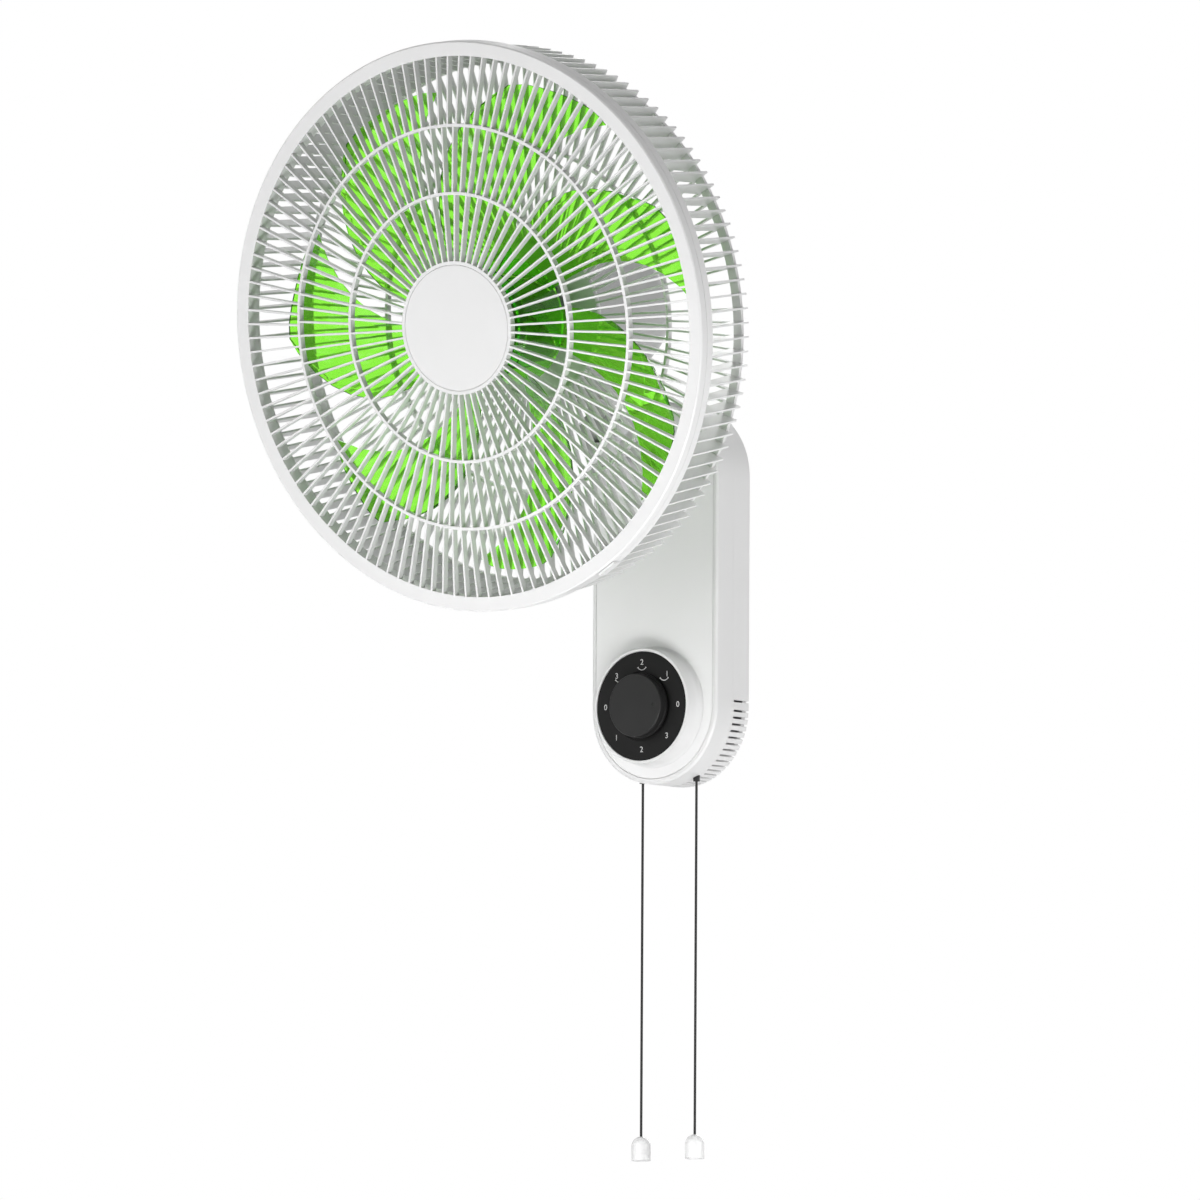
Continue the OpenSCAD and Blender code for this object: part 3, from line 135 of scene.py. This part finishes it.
def addNode(tree, kind, values=None, links=None, **settings):
    node = tree.nodes.new(kind)
    for key, value in settings.items():
        setattr(node, key, value)
    for key, value in (values or {}).items():
        node.inputs[key].default_value = value
    for key, source in (links or {}).items():
        tree.links.new(source, node.inputs[key])
    return node


def startMaterial(name):
    material = bpy.data.materials.new(name)
    material.use_nodes = True
    material.node_tree.nodes.clear()
    return material, material.node_tree


def perMetre(sizeMm):
    return 1000.0 / sizeMm  # texture scale for a feature of that size


noiseLow, noiseHigh = 0.3, 0.7  # most of a noise texture lies between these


def shiftedTone(tree, place, look):
    # slow drift of shade across a moulding or a coat, as a batch of pigment shows it
    drift = addNode(tree, "ShaderNodeTexNoise",
                    {"Scale": perMetre(look["driftMm"]), "Detail": 2.0}, {"Vector": place})
    spread = addNode(tree, "ShaderNodeMapRange",
                     {"From Min": noiseLow, "From Max": noiseHigh, "To Min": 0.0, "To Max": 1.0},
                     {"Value": drift.outputs["Fac"]})
    # inputs 6 and 7 are the two colours of a mix of colours
    tone = addNode(tree, "ShaderNodeMix", {6: toLinear(look["colour"]), 7: toLinear(look["shade"])},
                   {0: spread.outputs["Result"]}, data_type="RGBA")
    return tone.outputs[2]


def roughSpread(tree, place, look):
    patch = addNode(tree, "ShaderNodeTexNoise",
                    {"Scale": perMetre(look["patchMm"]), "Detail": 3.0}, {"Vector": place})
    low, high = look["rough"] - look["roughSpan"], look["rough"] + look["roughSpan"]
    spread = addNode(tree, "ShaderNodeMapRange",
                     {"From Min": noiseLow, "From Max": noiseHigh, "To Min": low, "To Max": high},
                     {"Value": patch.outputs["Fac"]})
    return spread.outputs["Result"]


def roundedEdge(tree, look):
    edge = addNode(tree, "ShaderNodeBevel", {"Radius": look["edgeMm"] * mm}, samples=4)
    return edge.outputs["Normal"]


# Moulded plastics: an even satin skin with a fine spark-eroded grain and softened edges.
# Real grain is 0.1 to 0.3 mm, too fine for the picture, so it is drawn at 0.8 to 1.5 mm.
def mouldedPlastic(name, look):
    material, tree = startMaterial(name)
    place = addNode(tree, "ShaderNodeTexCoord").outputs["Object"]
    grain = addNode(tree, "ShaderNodeTexNoise",
                    {"Scale": perMetre(look["grainMm"]), "Detail": 4.0, "Roughness": 0.6},
                    {"Vector": place})
    bump = addNode(tree, "ShaderNodeBump",
                   {"Strength": look["grainStrength"], "Distance": look["grainDepthMm"] * mm},
                   {"Height": grain.outputs["Fac"], "Normal": roundedEdge(tree, look)})
    skin = addNode(tree, "ShaderNodeBsdfPrincipled",
                   {"IOR": look["ior"], "Metallic": 0.0, "Specular IOR Level": look.get("gloss", 0.5)},
                   {"Base Color": shiftedTone(tree, place, look),
                    "Roughness": roughSpread(tree, place, look),
                    "Normal": bump.outputs["Normal"]})
    addNode(tree, "ShaderNodeOutputMaterial", links={"Surface": skin.outputs["BSDF"]})
    return material


# Powder coat: thicker than paint, with the shallow orange peel that a baked powder leaves,
# about 2 mm across
def powderCoat(name, look):
    material, tree = startMaterial(name)
    place = addNode(tree, "ShaderNodeTexCoord").outputs["Object"]
    peel = addNode(tree, "ShaderNodeTexVoronoi", {"Scale": perMetre(look["peelMm"]), "Smoothness": 1.0},
                   {"Vector": place}, feature="SMOOTH_F1")
    bump = addNode(tree, "ShaderNodeBump",
                   {"Strength": look["peelStrength"], "Distance": look["peelDepthMm"] * mm},
                   {"Height": peel.outputs["Distance"], "Normal": roundedEdge(tree, look)})
    coat = addNode(tree, "ShaderNodeBsdfPrincipled", {"IOR": look["ior"], "Metallic": 0.0},
                   {"Base Color": shiftedTone(tree, place, look),
                    "Roughness": roughSpread(tree, place, look),
                    "Normal": bump.outputs["Normal"]})
    addNode(tree, "ShaderNodeOutputMaterial", links={"Surface": coat.outputs["BSDF"]})
    return material


# Bare or plated metal: turning or drawing marks as fine rings or streaks, and duller patches
# where it was handled
def workedMetal(name, look):
    material, tree = startMaterial(name)
    place = addNode(tree, "ShaderNodeTexCoord").outputs["Object"]
    stretched = addNode(tree, "ShaderNodeMapping", {"Scale": look["stretch"]}, {"Vector": place})
    marks = addNode(tree, "ShaderNodeTexNoise", {"Scale": perMetre(look["markMm"]), "Detail": 5.0},
                    {"Vector": stretched.outputs["Vector"]})
    bump = addNode(tree, "ShaderNodeBump",
                   {"Strength": look["markStrength"], "Distance": look["markDepthMm"] * mm},
                   {"Height": marks.outputs["Fac"], "Normal": roundedEdge(tree, look)})
    metal = addNode(tree, "ShaderNodeBsdfPrincipled", {"Metallic": 1.0},
                    {"Base Color": shiftedTone(tree, place, look),
                     "Roughness": roughSpread(tree, place, look),
                     "Normal": bump.outputs["Normal"]})
    addNode(tree, "ShaderNodeOutputMaterial", links={"Surface": metal.outputs["BSDF"]})
    return material


# Transparent blade resin: injection moulded AS, tinted through. It shows what is behind it in lime,
# goes deeper green where two walls overlap, and has polished faces with faint flow lines from the gate.
# The real IOR of 1.57 bent the ribs behind more than the photograph shows, so it is lower here.
bladeLook = {
    "colour": "#9BFF4C", "shade": "#93FB46", "driftMm": 60.0,
    "rough": 0.015, "roughSpan": 0.008, "patchMm": 25.0,
    "ior": 1.3, "seeThrough": 0.94, "flowMm": 24.0, "flowDepthMm": 0.02, "flowStrength": 0.01,
}


def tintedResin(name, look):
    material, tree = startMaterial(name)
    place = addNode(tree, "ShaderNodeTexCoord").outputs["Object"]
    flow = addNode(tree, "ShaderNodeTexNoise",
                   {"Scale": perMetre(look["flowMm"]), "Detail": 1.0, "Distortion": 0.6},
                   {"Vector": place})
    bump = addNode(tree, "ShaderNodeBump",
                   {"Strength": look["flowStrength"], "Distance": look["flowDepthMm"] * mm},
                   {"Height": flow.outputs["Fac"]})
    resin = addNode(tree, "ShaderNodeBsdfPrincipled",
                    {"IOR": look["ior"], "Metallic": 0.0, "Transmission Weight": look["seeThrough"]},
                    {"Base Color": shiftedTone(tree, place, look),
                     "Roughness": roughSpread(tree, place, look),
                     "Normal": bump.outputs["Normal"]})
    addNode(tree, "ShaderNodeOutputMaterial", links={"Surface": resin.outputs["BSDF"]})
    return material


# Plastics of the fan. Edges are rounded by the mould's radius; the guard is glossier than the body.
plasticLooks = {
    "shell": {"colour": "#E2E2E2", "shade": "#DFDFDF", "driftMm": 90.0, "rough": 0.38,
              "roughSpan": 0.04, "patchMm": 30.0, "ior": 1.53, "grainMm": 1.0, "grainDepthMm": 0.02,
              "grainStrength": 0.12, "edgeMm": 0.7},
    "panel": {"colour": "#EBEBEB", "shade": "#E8E8E8", "driftMm": 80.0, "rough": 0.46,
              "roughSpan": 0.04, "patchMm": 24.0, "ior": 1.53, "grainMm": 1.4, "grainDepthMm": 0.03,
              "grainStrength": 0.2, "edgeMm": 0.8},
    "guard": {"colour": "#E5E5E5", "shade": "#E2E2E2", "driftMm": 120.0, "rough": 0.32,
              "roughSpan": 0.04, "patchMm": 30.0, "ior": 1.53, "grainMm": 1.0, "grainDepthMm": 0.012,
              "grainStrength": 0.1, "edgeMm": 0.22},
    "cap": {"colour": "#E5E5E5", "shade": "#E2E2E2", "driftMm": 60.0, "rough": 0.36, "roughSpan": 0.03,
            "patchMm": 30.0, "ior": 1.53, "grainMm": 1.0, "grainDepthMm": 0.01, "grainStrength": 0.06,
            "edgeMm": 1.0},
    "pull": {"colour": "#F0F0F0", "shade": "#ECECEC", "driftMm": 30.0, "rough": 0.24, "roughSpan": 0.03,
             "patchMm": 12.0, "ior": 1.49, "grainMm": 1.5, "grainDepthMm": 0.01, "grainStrength": 0.04,
             "edgeMm": 0.3},
    "dial": {"colour": "#111111", "shade": "#141414", "driftMm": 30.0, "rough": 0.5, "roughSpan": 0.05,
             "patchMm": 12.0, "ior": 1.5, "grainMm": 0.8, "grainDepthMm": 0.02, "grainStrength": 0.25,
             "edgeMm": 0.2, "gloss": 0.22},
    "knob": {"colour": "#222222", "shade": "#252525", "driftMm": 20.0, "rough": 0.42, "roughSpan": 0.05,
             "patchMm": 10.0, "ior": 1.5, "grainMm": 0.8, "grainDepthMm": 0.02, "grainStrength": 0.2,
             "edgeMm": 0.5, "gloss": 0.3},
    "housing": {"colour": "#B4B4B4", "shade": "#AEAEAE", "driftMm": 70.0, "rough": 0.4,
                "roughSpan": 0.05, "patchMm": 26.0, "ior": 1.53, "grainMm": 1.1, "grainDepthMm": 0.02,
                "grainStrength": 0.15, "edgeMm": 0.6},
    "switch": {"colour": "#6E7276", "shade": "#666A6E", "driftMm": 18.0, "rough": 0.5,
               "roughSpan": 0.06, "patchMm": 9.0, "ior": 1.57, "grainMm": 0.9, "grainDepthMm": 0.02,
               "grainStrength": 0.2, "edgeMm": 0.3},
    "nylon": {"colour": "#E6E1D2", "shade": "#DED8C6", "driftMm": 16.0, "rough": 0.36,
              "roughSpan": 0.06, "patchMm": 8.0, "ior": 1.53, "grainMm": 0.9, "grainDepthMm": 0.015,
              "grainStrength": 0.15, "edgeMm": 0.2},
    "capacitor": {"colour": "#242526", "shade": "#2B2C2D", "driftMm": 20.0, "rough": 0.45,
                  "roughSpan": 0.06, "patchMm": 9.0, "ior": 1.5, "grainMm": 0.9, "grainDepthMm": 0.02,
                  "grainStrength": 0.2, "edgeMm": 0.5},
    "nut": {"colour": "#8C8F92", "shade": "#84878A", "driftMm": 24.0, "rough": 0.42, "roughSpan": 0.05,
            "patchMm": 12.0, "ior": 1.53, "grainMm": 0.9, "grainDepthMm": 0.02, "grainStrength": 0.2,
            "edgeMm": 0.4},
}
plasticNames = {
    "shell": "injection moulded ABS, satin white",  # soft, even body
    "panel": "spark eroded ABS panel, pale grey",  # duller than its frame
    "guard": "injection moulded ABS, bright white",  # crisp lit ribs
    "cap": "injection moulded ABS cap, white",  # its rounded edge shows as a line
    "pull": "polished ABS pull, white",  # a bright streak down its side
    "dial": "moulded ABS dial plate, matt black",  # swallows the light
    "knob": "moulded ABS knob, satin black",  # a little lighter than the dial
    "housing": "injection moulded ABS, light grey",  # plain motor cover
    "switch": "glass filled PBT, switch grey",  # dry and matt
    "nylon": "natural nylon, moulded",  # creamy and slightly waxy
    "capacitor": "moulded polypropylene case, black",  # plain and dull
    "nut": "moulded ABS, mid grey",  # quiet between the brighter parts
}
plastics = {key: mouldedPlastic(name, plasticLooks[key]) for key, name in plasticNames.items()}

coatLooks = {
    "arm": {"colour": "#C9C9C9", "shade": "#C4C4C4", "driftMm": 50.0, "rough": 0.42, "roughSpan": 0.05,
            "patchMm": 20.0, "ior": 1.5, "peelMm": 2.0, "peelDepthMm": 0.02, "peelStrength": 0.25,
            "edgeMm": 0.8},
    "bracket": {"colour": "#5C5F62", "shade": "#55585B", "driftMm": 40.0, "rough": 0.48,
                "roughSpan": 0.06, "patchMm": 15.0, "ior": 1.5, "peelMm": 1.6, "peelDepthMm": 0.02,
                "peelStrength": 0.3, "edgeMm": 0.5},
}
# dimpled, and quieter than plastic
armCoat = powderCoat("powder coated die casting, light grey", coatLooks["arm"])
bracketCoat = powderCoat("powder coated steel pressing, dark grey", coatLooks["bracket"])

metalLooks = {
    "zinc": {"colour": "#C6C9CB", "shade": "#B2B4B0", "driftMm": 12.0, "rough": 0.34, "roughSpan": 0.08,
             "patchMm": 6.0, "stretch": (1.0, 1.0, 6.0), "markMm": 3.0, "markDepthMm": 0.02,
             "markStrength": 0.2, "edgeMm": 0.2},
    "turned": {"colour": "#C9C7C2", "shade": "#BDBBB6", "driftMm": 20.0, "rough": 0.22,
               "roughSpan": 0.05, "patchMm": 8.0, "stretch": (1.0, 12.0, 1.0), "markMm": 4.0,
               "markDepthMm": 0.01, "markStrength": 0.25, "edgeMm": 0.15},
    "cast": {"colour": "#AEB0B2", "shade": "#A0A2A4", "driftMm": 15.0, "rough": 0.46, "roughSpan": 0.08,
             "patchMm": 5.0, "stretch": (1.0, 1.0, 1.0), "markMm": 1.2, "markDepthMm": 0.06,
             "markStrength": 0.4, "edgeMm": 0.5},
    "core": {"colour": "#6F7173", "shade": "#5F6163", "driftMm": 10.0, "rough": 0.5, "roughSpan": 0.08,
             "patchMm": 5.0, "stretch": (1.0, 30.0, 1.0), "markMm": 15.0, "markDepthMm": 0.1,
             "markStrength": 0.6, "edgeMm": 0.1},
    "copper": {"colour": "#B4622F", "shade": "#9C4F22", "driftMm": 6.0, "rough": 0.3, "roughSpan": 0.06,
               "patchMm": 3.0, "stretch": (1.0, 1.0, 1.0), "markMm": 0.8, "markDepthMm": 0.2,
               "markStrength": 0.6, "edgeMm": 0.2},
}
metalNames = {
    "zinc": "zinc plated steel, barrel finished",  # cool, patchy sheen
    "turned": "turned carbon steel",  # bright with fine rings
    "cast": "pressure cast aluminium",  # grainy, dull silver
    "core": "varnished electrical steel laminations",  # 0.5 mm sheets in a stack
    "copper": "enamelled copper winding",  # warm wire under varnish
}
metals = {key: workedMetal(name, metalLooks[key]) for key, name in metalNames.items()}
bladeResin = tintedResin("injection moulded AS, see-through green", bladeLook)

# Braided polyester cord: two sets of strands cross over a core. The real strands are 1.2 mm wide,
# and their crossings are drawn about six times as long, so that they show.
braidLook = {"colour": "#1B1B1B", "shade": "#232323", "driftMm": 8.0,
             "rough": 0.75, "roughSpan": 0.05, "patchMm": 3.0,
             "strandMm": 1.2, "strandDepthMm": 0.08, "strandStrength": 0.12, "fuzz": 0.1,
             "waveTurns": 20.0,  # the wave texture's own factor
             "lean": 0.8}


def braidedCord(name, look):
    material, tree = startMaterial(name)
    place = addNode(tree, "ShaderNodeTexCoord").outputs["Object"]
    strands = []
    for lean in (look["lean"], -look["lean"]):  # the two ways that the strands wind
        turned = addNode(tree, "ShaderNodeMapping", {"Rotation": (lean, 0.0, lean)}, {"Vector": place})
        wave = addNode(tree, "ShaderNodeTexWave",
                       {"Scale": perMetre(look["strandMm"]) / look["waveTurns"], "Distortion": 0.0},
                       {"Vector": turned.outputs["Vector"]}, bands_direction="Z")
        strands.append(wave.outputs["Fac"])
    crossed = addNode(tree, "ShaderNodeMath", links={0: strands[0], 1: strands[1]}, operation="MULTIPLY")
    bump = addNode(tree, "ShaderNodeBump",
                   {"Strength": look["strandStrength"], "Distance": look["strandDepthMm"] * mm},
                   {"Height": crossed.outputs["Value"]})
    cloth = addNode(tree, "ShaderNodeBsdfPrincipled",
                    {"IOR": 1.5, "Metallic": 0.0, "Sheen Weight": look["fuzz"]},
                    {"Base Color": shiftedTone(tree, place, look),
                     "Roughness": roughSpread(tree, place, look),
                     "Normal": bump.outputs["Normal"]})
    addNode(tree, "ShaderNodeOutputMaterial", links={"Surface": cloth.outputs["BSDF"]})
    return material


cordBraid = braidedCord("braided polyester cord, black", braidLook)  # soft black without shine
for cord in (leftCord, rightCord):
    cord.data.materials.append(cordBraid)
print("materials: made")

# Which finish each piece of the fan has
finishes = {
    plastics["shell"]: ("back_shell", "front_shell", "dial_collar", "arm_trim"),
    plastics["pull"]: ("pull_left", "pull_right"),
    plastics["panel"]: ("front_panel",),
    plastics["guard"]: ("front_guard", "rear_guard", "guard_clip"),
    plastics["cap"]: ("guard_cap",),
    plastics["dial"]: ("dial_face",),
    plastics["knob"]: ("knob", "cord_bush_left", "cord_bush_right"),
    plastics["housing"]: ("motor_cover", "swing_lid"),
    plastics["switch"]: ("rotary_switch", "pull_switch_left", "pull_switch_right"),
    plastics["nylon"]: ("terminal_block", "pull_slider_left", "pull_slider_right", "thrust_washer",
                        "swing_gear", "swing_pinion"),
    plastics["capacitor"]: ("run_capacitor",),
    plastics["nut"]: ("blade_nut", "guard_nut"),
    armCoat: ("arm", "knuckle"),
    bracketCoat: ("front_bracket", "rear_bracket"),
    metals["zinc"]: ("wall_plate", "shell_screws", "arm_screws", "tilt_bolt", "tilt_nut", "tilt_washers",
                     "post_clip", "lid_screws", "motor_bolts", "swing_motor"),
    metals["turned"]: ("knob_shaft", "pan_post", "motor_shaft", "drive_pin", "front_bearing",
                       "rear_bearing"),
    metals["cast"]: ("rotor_core",),
    metals["core"]: ("stator_core",),
    metals["copper"]: ("stator_windings",),
    bladeResin: ("impeller",),
    cordBraid: ("pull_cord_left", "pull_cord_right"),
}
finished = set()
for material, names in finishes.items():
    for name in names:
        mesh = nodes[name].data
        mesh.materials.clear()
        mesh.materials.append(material)
        finished.add(name)
missing = sorted(set(nodes) - finished)
print("finishes: %d nodes, without one: %s" % (len(finished), missing))

# Dial print: 0 is off, 1 to 3 are the speeds; the small arc stands for the swing
dialLook = {
    "numberHeight": 0.0062,
    "ring": 0.0338,  # radius of the numbers
    "zeroRing": 0.0343,  # the noughts stand a little further out
    "arcRing": 0.0300,  # radius of the arcs
    "arcRadius": 0.0046,
    "arcWidth": 0.0006,
    "arcHalfAngle": 58.0,
    "arcRise": 0.55,  # share of its radius by which an arc's centre stands above its place
    "tipShare": 0.8,  # from this share of its half, the arc widens to a small arrow tip
    "tipSwell": 1.2,
    "steps": 18,
    "ink": 0.00006,  # thickness of the printed ink
    "places": ((0, "0", False), (45, "1", True), (90, "2", True), (135, "3", True),
               (180, "0", False), (225, "1", False), (270, "2", False), (315, "3", False)),
}
inkLook = {"colour": "#D4D4D4", "shade": "#C2C2C2", "driftMm": 6.0, "rough": 0.6, "roughSpan": 0.05,
           "patchMm": 3.0, "ior": 1.5,
           "grainMm": 0.8, "grainDepthMm": 0.01, "grainStrength": 0.2, "edgeMm": 0.02}
printInk = mouldedPlastic("pad printed ink, pale grey", inkLook)  # slightly uneven cover
faceLow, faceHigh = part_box("dial_face")
dialCentre = Vector(((faceLow.x + faceHigh.x) / 2, faceLow.y, (faceLow.z + faceHigh.z) / 2))


def printNumber(text, angle, look):
    letters = bpy.data.curves.new("dialNumber", "FONT")
    letters.body = text
    letters.size = look["numberHeight"]
    letters.align_x = "CENTER"
    letters.align_y = "CENTER"
    letters.extrude = look["ink"] / 2
    number = bpy.data.objects.new("dialNumber_%03d" % angle, letters)
    bpy.context.scene.collection.objects.link(number)
    turn = math.radians(angle)
    ring = look["ring"] if text != "0" else look["zeroRing"]
    offset = Vector((math.cos(turn) * ring, -look["ink"] / 2, math.sin(turn) * ring))
    upright = Matrix.Rotation(math.radians(90), 4, "X")
    number.matrix_world = Matrix.Translation(dialCentre + offset) @ upright
    letters.materials.append(printInk)
    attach(number, "wall_unit")


def printArc(angle, look):
    mesh = bpy.data.meshes.new("swingArc")
    shape = bmesh.new()
    turn = math.radians(angle)
    centre = dialCentre + Vector((math.cos(turn), 0.0, math.sin(turn))) * look["arcRing"]
    centre.z += look["arcRadius"] * look["arcRise"]
    rows = []
    for i in range(look["steps"] + 1):
        share = 2.0 * i / look["steps"] - 1.0
        around = math.radians(270 + share * look["arcHalfAngle"])
        tip = max(0.0, abs(share) - look["tipShare"]) / (1.0 - look["tipShare"])
        swell = 1.0 + look["tipSwell"] * tip
        inner = look["arcRadius"] - look["arcWidth"] * swell / 2
        outer = look["arcRadius"] + look["arcWidth"] * swell / 2
        section = ((inner, 0.0), (outer, 0.0), (outer, -look["ink"]), (inner, -look["ink"]))
        rows.append([centre + Vector((r * math.cos(around), y, r * math.sin(around))) for r, y in section])
    corners = [[shape.verts.new(p) for p in row] for row in rows]
    for a, b in zip(corners[:-1], corners[1:]):
        for k in range(4):
            shape.faces.new((a[k], a[(k + 1) % 4], b[(k + 1) % 4], b[k]))
    shape.faces.new(list(reversed(corners[0])))
    shape.faces.new(corners[-1])
    bmesh.ops.recalc_face_normals(shape, faces=shape.faces)
    shape.to_mesh(mesh)
    shape.free()
    arc = bpy.data.objects.new("swingArc_%03d" % angle, mesh)
    bpy.context.scene.collection.objects.link(arc)
    mesh.materials.append(printInk)
    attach(arc, "wall_unit")


for angle, text, withArc in dialLook["places"]:
    printNumber(text, angle, dialLook)
    if withArc:
        printArc(angle, dialLook)
print("dial: eight numbers and three arcs")

# Studio: a white sky and floor to the eye, lamps before, above, below and behind the fan
studioLook = {
    "floorHeight": -0.80,
    "floorRadius": 2.6,
    "floorSides": 96,
    "floorColour": "#F8F8F8",
    "floorShown": 0.88,  # share of the floor that the eye sees as plain paper, the rest takes shadow
    "sky": "#FFFFFF",
    "skyLevel": 0.24,  # the light that it gives
    "mirrored": (-0.2, 0.4),  # gloss shows the backdrop from none to all over this turn towards the wall
    "lamps": {
        "front": {"place": (-0.4, -3.0, -0.15), "aim": (0.0, -0.1, 0.0),
                 "size": (1.8, 0.9), "power": 11.0},
        "lowFront": {"place": (-0.5, -2.4, -0.66), "aim": (0.0, -0.1, 0.05),
                    "size": (1.6, 0.8), "power": 8.0},
        "under": {"place": (0.5, -0.9, -0.78), "aim": (0.0, -0.15, 0.0),
                 "size": (1.0, 0.7), "power": 14.0},
        "right": {"place": (2.4, 0.2, -0.3), "aim": (0.0, -0.1, 0.0),
                 "size": (1.2, 1.2), "power": 21.0},
        "highFront": {"place": (-1.3, -2.6, 1.2), "aim": (0.0, -0.15, 0.05),
                     "size": (2.2, 1.6), "power": 22.0},
        "behind": {"place": (-0.6, 2.4, 0.9), "aim": (0.0, -0.1, 0.0),
                  "size": (2.0, 1.6), "power": 26.0},
    },
}


def buildFloor(look):
    mesh = bpy.data.meshes.new("studioFloor")
    shape = bmesh.new()
    bmesh.ops.create_circle(shape, cap_ends=True, segments=look["floorSides"],
                           radius=look["floorRadius"])
    shape.to_mesh(mesh)
    shape.free()
    floor = bpy.data.objects.new("studioFloor", mesh)
    floor.location = (0.0, 0.0, look["floorHeight"])
    bpy.context.scene.collection.objects.link(floor)
    material, tree = startMaterial("matt white paper floor")
    paper = toLinear(look["floorColour"])
    paint = addNode(tree, "ShaderNodeBsdfPrincipled", {"Base Color": paper, "Roughness": 0.9})
    plain = addNode(tree, "ShaderNodeEmission", {"Color": paper, "Strength": 1.0})
    path = addNode(tree, "ShaderNodeLightPath")
    mirrored = addNode(tree, "ShaderNodeMath", operation="MAXIMUM",
                       links={0: path.outputs["Is Camera Ray"], 1: path.outputs["Is Glossy Ray"]})
    seen = addNode(tree, "ShaderNodeMath", operation="MAXIMUM",
                   links={0: mirrored.outputs["Value"], 1: path.outputs["Is Transmission Ray"]})
    share = addNode(tree, "ShaderNodeMath", {1: look["floorShown"]}, {0: seen.outputs["Value"]},
                    operation="MULTIPLY")
    either = addNode(tree, "ShaderNodeMixShader",
                     links={0: share.outputs["Value"], 1: paint.outputs["BSDF"],
                            2: plain.outputs["Emission"]})
    addNode(tree, "ShaderNodeOutputMaterial", links={"Surface": either.outputs["Shader"]})
    mesh.materials.append(material)


def buildSky(look):
    world = bpy.data.worlds.new("whiteStudio")
    bpy.context.scene.world = world
    world.use_nodes = True
    tree = world.node_tree
    tree.nodes.clear()
    path = addNode(tree, "ShaderNodeLightPath")
    # the white backdrop hangs behind the fan, so only gloss that looks that way shows it
    direction = addNode(tree, "ShaderNodeTexCoord").outputs["Generated"]
    split = addNode(tree, "ShaderNodeSeparateXYZ", links={"Vector": direction})
    behind = addNode(tree, "ShaderNodeMapRange",
                     {"From Min": look["mirrored"][0], "From Max": look["mirrored"][1]},
                     {"Value": split.outputs["Y"]})
    gloss = addNode(tree, "ShaderNodeMath", operation="MULTIPLY",
                    links={0: path.outputs["Is Glossy Ray"], 1: behind.outputs["Result"]})
    mirrored = addNode(tree, "ShaderNodeMath", operation="MAXIMUM",
                       links={0: path.outputs["Is Camera Ray"], 1: gloss.outputs["Value"]})
    through = addNode(tree, "ShaderNodeMath", operation="MAXIMUM",
                      links={0: mirrored.outputs["Value"], 1: path.outputs["Is Transmission Ray"]})
    # and only as the eye meets it, so that the backdrop adds no light to the fan through the blades
    direct = addNode(tree, "ShaderNodeMath", {1: 0.5}, {0: path.outputs["Diffuse Depth"]},
                     operation="LESS_THAN")
    seen = addNode(tree, "ShaderNodeMath", operation="MULTIPLY",
                   links={0: through.outputs["Value"], 1: direct.outputs["Value"]})
    white = toLinear(look["sky"])
    light = addNode(tree, "ShaderNodeBackground", {"Color": white, "Strength": look["skyLevel"]})
    backdrop = addNode(tree, "ShaderNodeBackground", {"Color": white, "Strength": 1.0})
    either = addNode(tree, "ShaderNodeMixShader",
                     links={0: seen.outputs["Value"], 1: light.outputs["Background"],
                            2: backdrop.outputs["Background"]})
    addNode(tree, "ShaderNodeOutputWorld", links={"Surface": either.outputs["Shader"]})


def hangLamp(name, lamp):
    light = bpy.data.lights.new(name, "AREA")
    light.shape = "RECTANGLE"
    light.size, light.size_y = lamp["size"]
    light.energy = lamp["power"]
    holder = bpy.data.objects.new(name, light)
    bpy.context.scene.collection.objects.link(holder)
    place, aim = Vector(lamp["place"]), Vector(lamp["aim"])
    holder.rotation_euler = (aim - place).to_track_quat("-Z", "Y").to_euler()
    holder.location = place
    holder.visible_camera = False
    holder.visible_transmission = False  # no green lamp spots on the ribs


buildFloor(studioLook)
buildSky(studioLook)
for lampName, lamp in studioLook["lamps"].items():
    hangLamp(lampName, lamp)
bpy.context.scene.view_settings.view_transform = "Standard"
print("studio: floor, sky and %d lamps" % len(studioLook["lamps"]))
